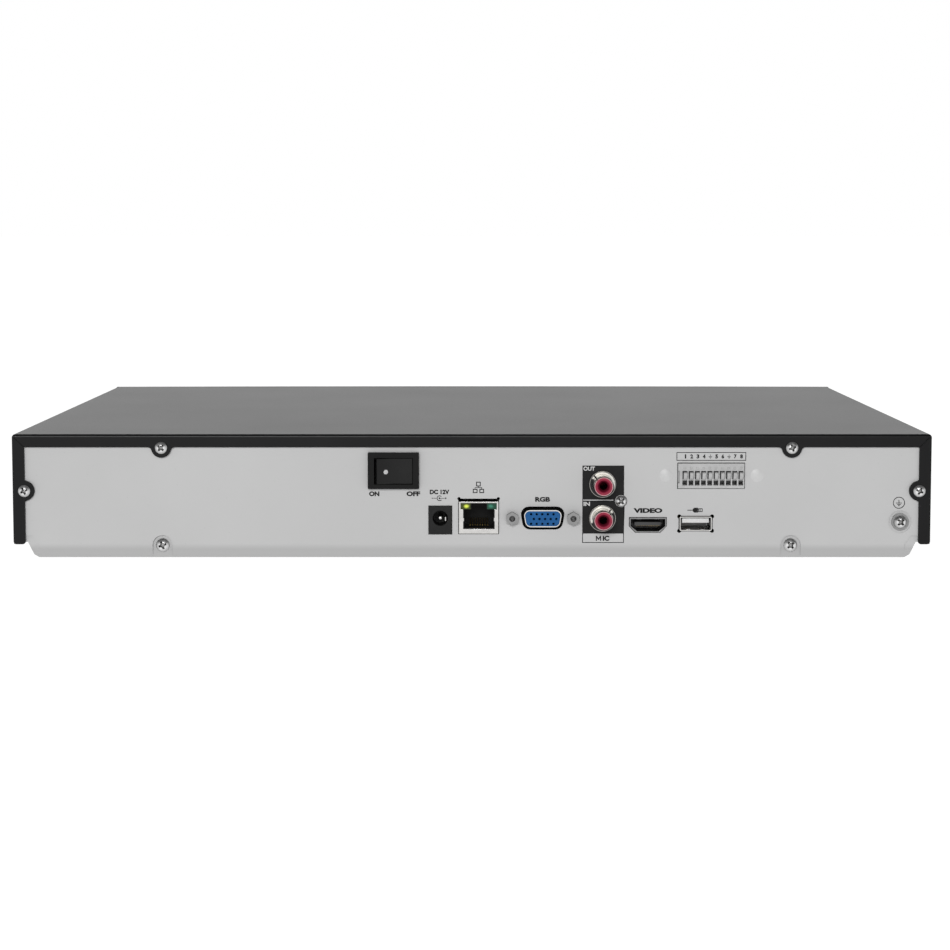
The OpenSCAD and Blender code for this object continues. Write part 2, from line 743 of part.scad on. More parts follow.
module audio_insulators() {
    color([0.62, 0.1, 0.16]) for (k = [0, 1]) {
        at = audio_at + [0, k * barrel_pitch];
        difference() {
            rod(at, [tip + 0.5, inner_y + 8.5], barrel_bore - eps);
            rod(at, [tip - 1, inner_y + 7], 1.65);
            rod(at, [tip + 4, inner_y + 7], 1.95);
            translate([at[0], tip + 0.4, at[1]]) rotate([-90, 0, 0]) cylinder(h = 1.3, r1 = 2.6, r2 = 1.65);
        }
    }
}

module audio_contacts() {
    color(gold) for (k = [0, 1]) {
        at = audio_at + [0, k * barrel_pitch];
        difference() {
            rod(at, [tip + 4, inner_y + 7], 1.95);
            rod(at, [tip + 3, inner_y + 6.5], 1.65);
        }
    }
}

module audio_screw() {
    color(steel) screw(audio_screw_at, panel_y, 2.3, 1.6, 5.5, 42);
}

module hdmi_shell() {
    color(steel) difference() {
        along_y(past(panel_y, [-0.5, 11])) polygon(rounded(hdmi_points(15, 5.9), 0.4, 3));
        along_y(past(panel_y, [-1, 10.6])) polygon(rounded(hdmi_points(14.2, 5.1), 0.3, 3));
    }
}

module hdmi_tongue() {
    color(black) {
        block(about(hdmi_at[0], 5.4), past(panel_y, [0.8, 9]), past(hdmi_at[1], [-0.35, 1.05]));
        intersection() {
            along_y(past(panel_y, [9 - eps, 10.6])) polygon(rounded(hdmi_points(14.1, 5), 0.3, 3));
            block(about(hdmi_at[0], 7), past(panel_y, [8, 12]), about(hdmi_at[1], 2.4));
        }
    }
}

module usb_shell() {
    color(steel) usb_socket_shell(usb_at, panel_y - 0.5, 14, 1);
}

module usb_tongue() {
    color("white") {
        block(about(usb_at[0], 5.5), past(panel_y, [0.6, 11.5]), past(usb_at[1], [0.3, 2.1]));
        block(about(usb_at[0], 6.1), past(panel_y, [11.5 - eps, 13.1]), about(usb_at[1], 2.4));
    }
}

// ---------- terminal block ----------

// Sides of a lever and of its slot, from the middle of the wire way
lever_x = [-0.5, 0.9];
slot_x = [-0.95, 1.05];
terminal_gap = 0.3;

function way_x(k) = way_x0 + k * way_pitch;

module terminal_body() {
    color([0.62, 0.62, 0.62]) difference() {
        block(terminal_x, past(panel_y, [-0.6, 11]), terminal_z);
        for (k = [0:ways - 1]) {
            block(about(way_x(k), 0.95), past(panel_y, [-1, 8]), about(way_z, 1.03));
            block(past(way_x(k), slot_x), past(panel_y, [-1, 2.4 + lever_travel]), lever_z + [-0.15, 0.5]);
            block(about(way_x(k), 0.45), past(panel_y, [-1, -0.45]), [39, 39.9]);
        }
        block(past(terminal_x[0], [-1, 0.55]), past(panel_y, [-1, 0.2]), [33.3, 38.3]);
    }
}

module lever(k) {
    top = lever_z[1];
    color([0.5, 0.5, 0.5]) along_x(past(way_x(k - 1), lever_x)) polygon([
        [panel_y - 1.5, top], [panel_y - 1.9, top - 0.4], [panel_y - 1.9, top - 1.4],
        [panel_y - 0.9, lever_z[0]], [panel_y + 2, lever_z[0]], [panel_y + 2, top]
    ]);
}

module lever_1() { lever(1); }

module lever_2() { lever(2); }

module lever_3() { lever(3); }

module lever_4() { lever(4); }

module lever_5() { lever(5); }

module lever_6() { lever(6); }

module lever_7() { lever(7); }

module lever_8() { lever(8); }

module lever_9() { lever(9); }

module lever_10() { lever(10); }

module ground_screw() {
    color(steel) screw(ground_at, panel_y - 0.8, 2.6, 1.9, 6, 45);
}

module ground_washer() {
    color(steel) difference() {
        rod(ground_at, [panel_y - 0.8, panel_y], 3.55);
        rod(ground_at, [panel_y - 2, panel_y + 1], 1.6);
    }
}

// ---------- inside ----------

standoff_at = [[-52, -6], [-52, -80], [23, -86], [116, -80], [116, -8]];

module main_board() {
    color(board_green) difference() {
        block(board_x, board_y, past(board_z, [-board_t, 0]));
        for (p = standoff_at) translate([p[0], board_y[0] - p[1], board_z - 5]) cylinder(h = 10, r = 1.6);
    }
}

module board_parts() {
    y0 = board_y[0];
    color([0.1, 0.1, 0.1]) {
        for (i = [0:3]) block([62 + 16 * i, 74 + 16 * i], past(y0, [52, 62]), past(board_z, [0, 1.1]));
        block([-30, -12], past(y0, [40, 58]), past(board_z, [0, 1.6]));
        block([-44, -32], past(y0, [62, 74]), past(board_z, [0, 5]));
    }
    color([0.2, 0.25, 0.6]) for (i = [0:3])
        translate([-12 + 10 * i, y0 + 24, board_z]) cylinder(h = 11, r = 4);
    color(steel) translate([100, y0 + 76, board_z]) cylinder(h = 3.4, r = 10.1);
    color("white") {
        block([-2, 18], past(y0, [82, 88]), past(board_z, [0, 9]));
        block([28, 48], past(y0, [82, 88]), past(board_z, [0, 9]));
        block(about(rocker_at[0], 8), past(y0, [30, 38]), past(board_z, [0, 7]));
        block([58, 78], past(y0, [83, 88]), past(board_z, [0, 6]));
    }
}

module heatsink() {
    fin_n = 10;
    fin_z = past(board_z, [4 - eps, 16]);
    at = [26, board_y[0] + 56];
    color([0.7, 0.7, 0.72]) {
        block(about(at[0], 20), about(at[1], 20), past(board_z, [1.2, 4]));
        for (i = [0:fin_n - 1])
            block(past(at[0] - 20 + i * 39 / (fin_n - 1), [0, 1]), about(at[1], 20), fin_z);
        block(about(at[0], 12), about(at[1], 12), past(board_z, [0, 1.2 + eps]));
    }
}

alarm_y = past(inner_y, [1.2, 30]);

module alarm_board() {
    color(board_green) difference() {
        block([74, 122], alarm_y, past(alarm_z, [-board_t, 0]));
        for (x = [78, 118]) translate([x, alarm_y[1] - 4, alarm_z - 5]) cylinder(h = 10, r = 1.6);
    }
    color(black) block([90, 110], past(alarm_y[1], [-14, -4]), past(alarm_z, [-eps, 11]));
}

module standoffs() {
    color([0.8, 0.66, 0.35]) {
        for (p = standoff_at)
            translate([p[0], board_y[0] - p[1], pan_z + sheet_t]) {
                cylinder(h = board_z - board_t - pan_z - sheet_t, r = 3.2, $fn = 6);
                cylinder(h = board_z - pan_z - sheet_t + 1.2, r = 1.5);
            }
        for (x = [78, 118]) translate([x, alarm_y[1] - 4, board_z]) {
            cylinder(h = alarm_z - board_t - board_z, r = 2.6, $fn = 6);
            cylinder(h = alarm_z - board_z + 1.2, r = 1.5);
        }
        for (x = [-120, 60]) translate([x, front_y - 22, pan_z + sheet_t])
            cylinder(h = front_board_z - board_t - pan_z - sheet_t, r = 3.2, $fn = 6);
    }
}

drive_top = drive_z + drive_size[2];
chamber_z = drive_z + 6;

module drive_base() {
    at = [drive_at[0], drive_at[1], 0];
    spindle = at + [0, spindle_dy, 0];
    color([0.72, 0.72, 0.73]) difference() {
        translate([at[0], at[1], 0]) difference() {
            block(drive_size[0] / 2 * [-1, 1], drive_size[1] / 2 * [-1, 1], [drive_z, drive_top - 1]);
            block(46 * [-1, 1], [-62, 38], [drive_z - 1, drive_z + 1.8]);
            block(47 * [-1, 1], [-70, 10], [chamber_z, drive_top]);
        }
        translate([spindle[0], spindle[1], chamber_z]) cylinder(h = 40, r = platter_r + 1.5);
        translate([spindle[0], spindle[1], drive_z + 3]) cylinder(h = 10, r = 3.05);
        translate([at[0] + arm_dx, at[1] + arm_dy, drive_z + 3]) cylinder(h = 10, r = 3.05);
        for (sx = [-1, 1], sy = [-1, 1])
            translate([at[0] + sx * drive_hole_dx, at[1] + sy * drive_hole_dy, drive_z - 1])
                cylinder(h = 6, r = hole_r);
    }
}

module drive_lid() {
    color(steel) {
        translate([drive_at[0], drive_at[1], 0])
            block((drive_size[0] / 2 - 0.4) * [-1, 1], (drive_size[1] / 2 - 0.4) * [-1, 1],
                [drive_top - 1, drive_top]);
    }
}

module drive_platters() {
    color([0.85, 0.85, 0.87]) translate([drive_at[0], drive_at[1] + spindle_dy, 0]) {
        translate([0, 0, chamber_z + 1]) cylinder(h = 14, r = hub_r);
        for (z = [chamber_z + 3, chamber_z + 10]) translate([0, 0, z]) cylinder(h = 1.27, r = platter_r);
        translate([0, 0, drive_z + 3.2]) cylinder(h = 5, r = 3);
    }
}

module drive_arm() {
    park = 15;
    color([0.7, 0.7, 0.72]) translate([drive_at[0] + arm_dx, drive_at[1] + arm_dy, 0]) rotate([0, 0, park]) {
        translate([0, 0, chamber_z + 1]) cylinder(h = 14, r = 7);
        translate([0, 0, drive_z + 3.2]) cylinder(h = 5, r = 3);
        for (z = [chamber_z + 4.6, chamber_z + 11.6]) translate([0, 0, z]) linear_extrude(0.8)
            polygon([[0, -6], [arm_len, -1.5], [arm_len, 1.5], [0, 6]]);
        translate([0, 0, chamber_z + 6]) linear_extrude(4)
            polygon([[0, -6], [-14, -7], [-14, 7], [0, 6]]);
    }
}

module drive_screws() {
    head_z = pan_z + 1.2;
    color(steel) for (sx = [-1, 1], sy = [-1, 1])
        translate([drive_at[0] + sx * drive_hole_dx, drive_at[1] + sy * drive_hole_dy, 0]) difference() {
            union() {
                translate([0, 0, head_z]) cylinder(h = drive_z - 1 - head_z, r = 3.2);
                translate([0, 0, drive_z - 1 - eps]) cylinder(h = 5, r = shank_r);
            }
            for (turn = [0, 90]) rotate([0, 0, turn]) block([-1.8, 1.8], [-0.4, 0.4], [0, head_z + 1]);
        }
}

// Flat cable as a flat outline: straight stretches that overlap a little at the bends
module strip(points, t) {
    for (i = [0:len(points) - 2]) {
        run = points[i + 1] - points[i];
        translate(points[i]) rotate(atan2(run[1], run[0]))
            translate([-t / 3, -t / 2]) square([norm(run) + 2 * t / 3, t]);
    }
}

module drive_cable() {
    header_y = board_y[0] + 88;
    z = [board_z + 1, board_z + 9];
    end_y = drive_at[1] - drive_size[1] / 2 - 0.1;
    block([-2, 18], [header_y + 0.1, header_y + 6], z);
    block([-112, -92], [end_y - 7, end_y], z);
    translate([0, 0, z[0] + 0.5]) linear_extrude(7)
        strip([[0, header_y + 5], [-14, header_y + 5], [-40, end_y - 4], [-93, end_y - 4]], 1.2);
}

module front_cable() {
    x = [60, 76];
    t = 0.9;
    top = 30;
    start = [board_y[0] + 85.5, board_z + 6.1];
    finish = [front_y - 24, front_board_z];
    for (p = [start, finish]) {
        block(x, about(p[0], 2.4), [p[1], p[1] + 2.5]);
        block(x + [1, -1], about(p[0], t / 2), [p[1] + 2.4, top]);
    }
    block(x + [1, -1], [start[0] - t / 2, finish[0] + t / 2], [top - t, top]);
}

module switch_wires() {
    y = panel_y + 15.1;
    plug_at = [board_y[0] + 34, board_z + 7.1];
    for (side = [-1, 1]) {
        x = rocker_at[0] + side * 5;
        block(about(x, 1.2), [y, y + 9.2], about(rocker_at[1], 3));
        along_x(about(x, 0.8)) strip([
            [y + 8, rocker_at[1]], [y + 14, rocker_at[1] - 1],
            [plug_at[0] - 3, plug_at[1] + 9], plug_at + [0, 1]
        ], 1.6);
    }
    block(about(rocker_at[0], 8), about(plug_at[0], 3.4), [plug_at[1], plug_at[1] + 2.5]);
}

module wiring() {
    color([0.7, 0.12, 0.1]) drive_cable();
    color([0.75, 0.75, 0.75]) front_cable();
    color(black) switch_wires();
}

module fan_frame() {
    mid_y = fan_at[1];
    mid_z = fan_at[2];
    x = past(fan_at[0], [0, fan_depth]);
    half = fan_size / 2;
    color(black) difference() {
        union() {
            difference() {
                along_x(x) round_rect(about(mid_y, half), about(mid_z, half), 2.5);
                translate([x[0] - 1, mid_y, mid_z]) rotate([0, 90, 0]) cylinder(h = fan_depth + 2, r = 19);
            }
            translate([x[1] - 1.8, mid_y, mid_z]) rotate([0, 90, 0]) cylinder(h = 1.8, r = 11);
            for (a = [45:90:315]) translate([x[1] - 1.8, mid_y, mid_z]) rotate([a, 0, 0])
                block([0, 1.8], [10, 19.5], [-1, 1]);
        }
        translate([x[1] - 2.5, mid_y, mid_z]) rotate([0, 90, 0]) cylinder(h = 1.7, r = 1.55);
        for (sy = [-1, 1], sz = [-1, 1])
            translate([x[0] - 1, mid_y + 16 * sy, mid_z + 16 * sz]) rotate([0, 90, 0])
                cylinder(h = 20, r = 1.7);
    }
}

module fan_rotor() {
    x0 = fan_at[0] + 0.8;
    blade_x = 6;
    color(black) translate([x0, fan_at[1], fan_at[2]]) {
        rotate([0, 90, 0]) cylinder(h = 6.8, r = 11);
        translate([6.7, 0, 0]) rotate([0, 90, 0]) cylinder(h = 1.6, r = 1.5);
        for (k = [0:blades - 1]) rotate([k * 360 / blades, 0, 0]) translate([3.4, 14.4, 0]) rotate([0, 38, 0])
            block(0.5 * [-1, 1], 3.9 * [-1, 1], 0.6 * blade_x * [-1, 1]);
    }
}

top_cover();
rear_panel();
bottom_pan();
feet();
cover_screws();
panel_screws();
bracket_rivets();
front_bezel();
front_window();
status_lenses();
front_usb_shell();
front_usb_tongue();
front_board();
rocker_housing();
rocker();
dc_jack_body();
dc_jack_pin();
dc_jack_spring();
network_shell();
network_insert();
network_contacts();
network_lights();
vga_shell();
vga_insert();
vga_jackscrews();
audio_block();
audio_barrels();
audio_insulators();
audio_contacts();
audio_screw();
hdmi_shell();
hdmi_tongue();
usb_shell();
usb_tongue();
terminal_body();
lever_1();
lever_2();
lever_3();
lever_4();
lever_5();
lever_6();
lever_7();
lever_8();
lever_9();
lever_10();
ground_screw();
ground_washer();
main_board();
board_parts();
heatsink();
alarm_board();
standoffs();
wiring();
drive_base();
drive_lid();
drive_platters();
drive_arm();
drive_screws();
fan_frame();
fan_rotor();
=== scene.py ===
import json
import math

import bmesh
import bpy
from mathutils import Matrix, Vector


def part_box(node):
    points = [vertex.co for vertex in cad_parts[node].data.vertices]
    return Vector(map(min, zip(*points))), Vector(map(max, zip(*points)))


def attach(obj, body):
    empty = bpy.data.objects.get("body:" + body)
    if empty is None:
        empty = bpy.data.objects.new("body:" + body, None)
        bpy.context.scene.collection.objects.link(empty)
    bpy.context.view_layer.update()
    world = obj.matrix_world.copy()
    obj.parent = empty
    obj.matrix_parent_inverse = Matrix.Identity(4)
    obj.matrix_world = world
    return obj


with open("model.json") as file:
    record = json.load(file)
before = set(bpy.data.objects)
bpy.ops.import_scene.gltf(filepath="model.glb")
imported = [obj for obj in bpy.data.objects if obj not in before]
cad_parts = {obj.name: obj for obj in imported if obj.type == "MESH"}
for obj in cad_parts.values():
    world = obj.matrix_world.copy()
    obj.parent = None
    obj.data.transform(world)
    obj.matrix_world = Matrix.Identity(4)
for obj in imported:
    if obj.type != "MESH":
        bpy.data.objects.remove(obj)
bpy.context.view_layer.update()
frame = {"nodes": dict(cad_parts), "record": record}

MM = 0.001
nodes = frame["nodes"]
slot_of = {part["node"]: part["material_slot"] for part in frame["record"]["subparts"]}


# ---------- measures taken from the frame, in millimetres ----------

def box_mm(node):
    """Lowest and highest corner of a CAD node, in millimetres."""
    low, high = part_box(node)
    return [v / MM for v in low], [v / MM for v in high]


def centre_mm(node):
    low, high = box_mm(node)
    return [(a + b) / 2 for a, b in zip(low, high)]


PANEL_Y = box_mm("rear_panel")[0][1]
LIP_Y = box_mm("top_cover")[0][1]
USB = centre_mm("usb_shell")
HDMI = centre_mm("hdmi_shell")
# the terminal block: how many ways, the middle of the first, their spacing, the height of the wire holes
WAYS = 10
WAY_X0 = box_mm("lever_1")[0][0] + 0.5
WAY_PITCH = box_mm("lever_2")[0][0] - box_mm("lever_1")[0][0]
WAY_Z = box_mm("lever_1")[0][2] - 1.55
SWITCH = centre_mm("rocker_housing")
JACK = centre_mm("dc_jack_body")
NET = centre_mm("network_shell")
VGA = centre_mm("vga_shell")
GROUND = centre_mm("ground_screw")
SCREW = centre_mm("audio_screw")
# the two audio sockets: radius of their flanges, their common axis in X, the heights of both axes
FLANGE_R = 5.4
AUDIO_LOW, AUDIO_HIGH = box_mm("audio_barrels")
AUDIO_X, AUDIO_MID_Z = ((AUDIO_LOW[k] + AUDIO_HIGH[k]) / 2 for k in (0, 2))
AUDIO_Z = [AUDIO_LOW[2] + FLANGE_R, AUDIO_HIGH[2] - FLANGE_R]
# where painted shade starts darkening the rear wall towards its foot, and the wall's own tone
FOOT_TOP = 7.4
PANEL_TONE = 0.37


# ---------- node helpers for materials ----------

class Shade:
    """A new material with its Principled shader, and short calls that add and join nodes."""

    def __init__(self, name):
        self.mat = bpy.data.materials.new(name)
        self.mat.use_nodes = True
        self.tree = self.mat.node_tree
        self.out = self.tree.nodes["Principled BSDF"]
        self.coords = self.tree.nodes.new("ShaderNodeTexCoord")

    def node(self, kind, **settings):
        made = self.tree.nodes.new("ShaderNode" + kind)
        for key, value in settings.items():
            setattr(made, key, value)
        return made

    def join(self, source, target):
        self.tree.links.new(source, target)

    def place(self, scale=(1, 1, 1)):
        mapping = self.node("Mapping")
        mapping.inputs["Scale"].default_value = scale
        self.join(self.coords.outputs["Object"], mapping.inputs["Vector"])
        return mapping.outputs["Vector"]

    def noise(self, scale, detail=3.0, rough=0.55, stretch=(1, 1, 1)):
        noise = self.node("TexNoise")
        noise.inputs["Scale"].default_value = scale
        noise.inputs["Detail"].default_value = detail
        noise.inputs["Roughness"].default_value = rough
        self.join(self.place(stretch), noise.inputs["Vector"])
        return noise.outputs["Fac"]

    def cells(self, scale, output="Distance", stretch=(1, 1, 1), **settings):
        cells = self.node("TexVoronoi", feature="F1", **settings)
        cells.inputs["Scale"].default_value = scale
        self.join(self.place(stretch), cells.inputs["Vector"])
        return cells.outputs[output]

    def spread(self, value, low, high, start=0.3, end=0.7):
        """value from start to end becomes low to high."""
        spread = self.node("MapRange")
        ends = {"From Min": start, "From Max": end, "To Min": low, "To Max": high}
        for key, number in ends.items():
            spread.inputs[key].default_value = number
        self.join(value, spread.inputs["Value"])
        return spread.outputs["Result"]

    def ramp(self, value, stops, smooth=True):
        """Colours at places from 0 to 1, eased from one to the next or changing at once."""
        ramp = self.node("ValToRGB")
        ramp.color_ramp.interpolation = "EASE" if smooth else "CONSTANT"
        points = ramp.color_ramp.elements
        while len(points) < len(stops):
            points.new(0.5)
        for point, (at, color) in zip(points, stops):
            point.position = at
            point.color = (*color, 1)
        self.join(value, ramp.inputs["Fac"])
        return ramp.outputs["Color"]

    def math(self, kind, a, b=0):
        """Sum, product or comparison of two values, each a socket or a number, or a function of one."""
        done = self.node("Math", operation=kind)
        for k, value in enumerate((a, b)):
            if isinstance(value, (int, float)):
                done.inputs[k].default_value = value
            else:
                self.join(value, done.inputs[k])
        return done.outputs["Value"]

    def mix(self, share, a, b):
        """Colour a where share is 0 and colour b where it is 1; each is a socket or three numbers."""
        mix = self.node("Mix", data_type="RGBA")
        self.join(share, mix.inputs[0])
        for socket, value in ((mix.inputs[6], a), (mix.inputs[7], b)):
            if isinstance(value, tuple):
                socket.default_value = (*value, 1)
            else:
                self.join(value, socket)
        return mix.outputs[2]

    def axis(self, letter, output="Object"):
        """One part of the position in metres, or of the surface's direction when output is Normal."""
        parts = self.node("SeparateXYZ")
        self.join(self.coords.outputs[output], parts.inputs["Vector"])
        return parts.outputs[letter]

    def openness(self, reach_mm):
        """1 on an open face, falling to 0 in the bottom of a narrow recess; it sets where shade is painted.
        """
        shade = self.node("AmbientOcclusion", samples=8, only_local=True)
        shade.inputs["Distance"].default_value = reach_mm * MM
        return shade.outputs["AO"]

    def bump(self, height, depth_mm, under=None):
        bump = self.node("Bump")
        bump.inputs["Strength"].default_value = 1.0
        bump.inputs["Distance"].default_value = depth_mm * MM
        self.join(height, bump.inputs["Height"])
        if under:
            self.join(under, bump.inputs["Normal"])
        self.join(bump.outputs["Normal"], self.out.inputs["Normal"])
        return bump.outputs["Normal"]

    def set(self, **values):
        """Numbers on the shader, each under its input's name in small letters with underscores."""
        for key, value in values.items():
            self.out.inputs[key.replace("_", " ").title().replace("Ior", "IOR")].default_value = value

    def color(self, source):
        self.join(source, self.out.inputs["Base Color"])

    def rough(self, source):
        self.join(source, self.out.inputs["Roughness"])


def grey(value, tint=(1, 1, 1)):
    return tuple(value * share for share in tint)


def finish_and_shade(name, dark, light, rough, grain=(2500, 0.01), mottle=55, metallic=0.0, specular=0.5, deep=None):
    """A paint, moulding or plating: two close shades in soft patches, fine grain and uneven gloss,
    with painted shade in its recesses where deep is given. rough is the gloss range, grain the
    fineness and depth in millimetres of the specks, mottle the fineness of the patches. deep is how
    far in millimetres a recess reaches before painted shade darkens it."""
    s = Shade(name)
    patches = s.noise(mottle, 4, 0.6)
    speck = s.noise(grain[0], 2, 0.6)
    mixed = s.math("ADD", s.math("MULTIPLY", patches, 0.6), s.math("MULTIPLY", speck, 0.4))
    tone = s.ramp(mixed, [(0.38, dark), (0.62, light)])
    if deep:
        # painted shade: the tone darkens towards the bottom of a recess
        tone = s.mix(s.spread(s.openness(deep), 0, 1, 0.25, 0.8), tuple(0.06 * d for d in dark), tone)
    s.color(tone)
    s.rough(s.spread(mixed, rough[0], rough[1]))
    s.bump(speck, grain[1])
    s.set(metallic=metallic, specular_ior_level=specular)
    return s


def worn_metal_and_shade(name, tone, rough, scratch=0.012, stretch=(30, 900, 30), rim=None, deep=None, behind=None):
    """Scratched metal with dull patches and painted shade: where rim is given, faces that do not look
    out along -Y take the tone times rim; recesses darken as far in as deep reaches; and beyond the
    place along Y called behind, in millimetres, the metal is dull and painted dark.
    """
    s = Shade(name)
    lines = s.noise(12, 4, 0.7, stretch)
    dull = s.noise(120, 4, 0.6)
    both = s.math("ADD", s.math("MULTIPLY", lines, 0.5), s.math("MULTIPLY", dull, 0.5))
    shown = s.ramp(both, [(0.36, tuple(0.78 * t for t in tone)), (0.6, tone)])
    if rim is not None:
        facing = s.spread(s.math("MULTIPLY", s.axis("Y", "Normal"), -1.0), 0, 1, 0.25, 0.85)
        if behind is not None:
            # painted shade beyond behind, inside the panel
            outside = s.spread(s.axis("Y"), 1, 0, (behind - 0.05) * MM, behind * MM)
            facing = s.math("MULTIPLY", facing, outside)
        # painted shade on the faces that turn away from -Y
        shown = s.mix(facing, tuple(rim * t for t in tone), shown)
    if deep:
        # painted shade in recesses
        shown = s.mix(s.spread(s.openness(deep), 0, 1, 0.2, 0.75), tuple(0.04 * t for t in tone), shown)
    s.color(shown)
    gloss = s.spread(both, rough[1], rough[0])
    if behind is not None:
        gloss = s.math("MAXIMUM", gloss, s.spread(facing, 0.85, 0, 0, 1))
    s.rough(gloss)
    s.bump(lines, scratch)
    s.set(metallic=1.0)
    return s


# ---------- materials ----------

def make_cover_paint():
    """Black powder coat: fine pebble grain, slightly uneven gloss, a few dust specks."""
    s = Shade("cover_powder_coat")
    grain = s.noise(2100, 3, 0.6)
    soft = s.noise(18, 3, 0.5)
    dust = s.spread(s.noise(900, 2, 0.5), 0, 1, 0.74, 0.8)
    base = s.ramp(soft, [(0.35, grey(0.0045, (1, 1, 1.06))), (0.65, grey(0.006, (1, 1, 1.06)))])
    s.color(s.mix(dust, base, grey(0.02)))
    uneven = s.math("ADD", s.math("MULTIPLY", soft, 0.15), s.math("MULTIPLY", grain, 0.85))
    s.rough(s.spread(uneven, 0.27, 0.35))
    s.bump(s.noise(420, 2, 0.5), 0.008, under=s.bump(grain, 0.005))
    s.set(specular_ior_level=0.14)
    return s


def make_panel_paint():
    """Light grey satin paint on steel: orange peel, soft tone drift, a few tiny pits, and painted shade on
    its foot.
    """
    s = Shade("panel_satin_paint")
    drift = s.noise(14, 4, 0.55)
    peel = s.noise(850, 2, 0.5)
    pits = s.spread(s.cells(240), 1, 0, 0.02, 0.07)
    tone = s.ramp(drift, [(0.3, grey(PANEL_TONE * 0.975)), (0.7, grey(PANEL_TONE * 1.02))])
    pitted = s.mix(s.math("MULTIPLY", pits, 0.35), tone, grey(PANEL_TONE * 0.7))
    # painted shade on the foot, a strip that faces a little downward
    foot = s.spread(s.axis("Z"), 1, 0, (FOOT_TOP - 1.3) * MM, (FOOT_TOP + 0.9) * MM)
    s.color(s.mix(foot, pitted, grey(PANEL_TONE * 0.83)))
    uneven = s.math("ADD", s.math("MULTIPLY", drift, 0.5), s.math("MULTIPLY", peel, 0.5))
    s.rough(s.spread(uneven, 0.4, 0.55))
    s.bump(peel, 0.008)
    s.set(specular_ior_level=0.35)
    return s


def make_zinc():
    """Bright zinc plate with painted light: outward faces painted bright as a highlight, walls and rims
    painted dark, and painted shade in its recesses.
    """
    s = Shade("zinc_screw")
    outward = s.math("MULTIPLY", s.axis("Y", "Normal"), -1.0)
    cloud = s.noise(700, 4, 0.65)
    facing = s.math("ADD", outward, s.math("MULTIPLY", s.math("SUBTRACT", cloud, 0.5), 0.25))
    # painted shade in the recesses
    clear = s.spread(s.openness(1.2), 0, 1, 0.3, 0.92)
    # painted highlight on outward faces, painted shade on walls and rims
    s.color(s.ramp(s.math("MULTIPLY", facing, clear), [
        (0.12, grey(0.012)), (0.5, grey(0.14, (1, 0.98, 0.95))), (0.72, grey(0.42)), (0.95, grey(0.72))]))
    s.rough(s.spread(cloud, 0.2, 0.38))
    s.bump(s.noise(3200, 3, 0.6), 0.006)
    s.set(metallic=1.0)
    return s


def make_board(name, tone):
    """Solder mask over a net of traces, with tinned pads."""
    s = Shade(name)
    steps = s.math("MULTIPLY", s.cells(330, distance="MANHATTAN"), 3.0)
    trace = s.spread(s.math("FRACT", steps), 0, 1, 0.42, 0.5)
    pads = s.spread(s.cells(520), 1, 0, 0.1, 0.16)
    mask = s.mix(trace, tone, tuple(1.8 * t for t in tone))
    s.color(s.mix(pads, mask, (0.55, 0.53, 0.48)))
    s.rough(s.spread(s.noise(900), 0.25, 0.4))
    s.bump(trace, 0.03)
    return s


def away_from(s, x, z):
    """Distance from an axis along Y, from how far right of it and above it a point lies."""
    return s.math("SQRT", s.math("ADD", s.math("MULTIPLY", x, x), s.math("MULTIPLY", z, z)))


def make_lights():
    """Two dark windows, each with a small lamp behind it: left yellow-green, right teal-green."""
    s = Shade("network_lamp")
    low, high = box_mm("network_lights")
    right = s.math("GREATER_THAN", s.axis("X"), (low[0] + high[0]) / 2 * MM)
    left_x, right_x = low[0] + 2.25, high[0] - 2.35
    lamp_x = s.math("ADD", left_x * MM, s.math("MULTIPLY", right, (right_x - left_x) * MM))
    x = s.math("SUBTRACT", s.axis("X"), lamp_x)
    z = s.math("MULTIPLY", s.math("SUBTRACT", s.axis("Z"), (low[2] + high[2]) / 2 * MM), 1.35)
    wobble = s.math("MULTIPLY", s.math("SUBTRACT", s.noise(900), 0.5), 0.6 * MM)
    glow = s.spread(s.math("ADD", away_from(s, x, z), wobble), 1, 0, 0.35 * MM, 1.25 * MM)
    lamp = s.mix(right, (0.48, 0.56, 0.06), (0.02, 0.125, 0.08))
    window = s.mix(right, (0.028, 0.038, 0.004), (0.003, 0.034, 0.018))
    shown = s.mix(glow, window, lamp)
    s.color(shown)
    s.join(shown, s.out.inputs["Emission Color"])
    s.rough(s.spread(s.noise(1500), 0.12, 0.25))
    s.bump(s.noise(1500), 0.01)
    s.set(emission_strength=0.35, specular_ior_level=0.3)
    return s


def make_parts():
    """Chips, capacitors and connectors: black epoxy, grey cans and pale housings told apart by place."""
    s = Shade("mounted_parts")
    kinds = [(0.0, grey(0.02)), (0.45, grey(0.035)), (0.6, grey(0.3)), (0.85, grey(0.55))]
    s.color(s.ramp(s.cells(55, "Color", (1, 1, 0.2)), kinds, smooth=False))
    s.rough(s.spread(s.noise(800), 0.35, 0.6))
    s.bump(s.noise(2600), 0.015)
    return s


def make_lens():
    """Clear moulding with a faint cloud in it."""
    s = Shade("status_lens")
    s.color(s.ramp(s.noise(300), [(0.35, (0.62, 0.68, 0.68)), (0.65, (0.76, 0.82, 0.82))]))
    s.rough(s.spread(s.noise(900), 0.08, 0.2))
    s.bump(s.noise(1800), 0.01)
    s.set(transmission_weight=0.6)
    return s


def from_audio_axis(s):
    """Distance from the nearer audio socket's axis, height above it, and how far a point lies to the
    right of it on the upper socket or to the left of it on the lower one."""
    over = s.math("SUBTRACT", s.axis("Z"), AUDIO_MID_Z * MM)
    side = s.math("SIGN", over)
    height = s.math("SUBTRACT", over, s.math("MULTIPLY", side, (AUDIO_Z[1] - AUDIO_Z[0]) / 2 * MM))
    x = s.math("SUBTRACT", s.axis("X"), AUDIO_X * MM)
    return away_from(s, x, height), height, s.math("MULTIPLY", side, x)


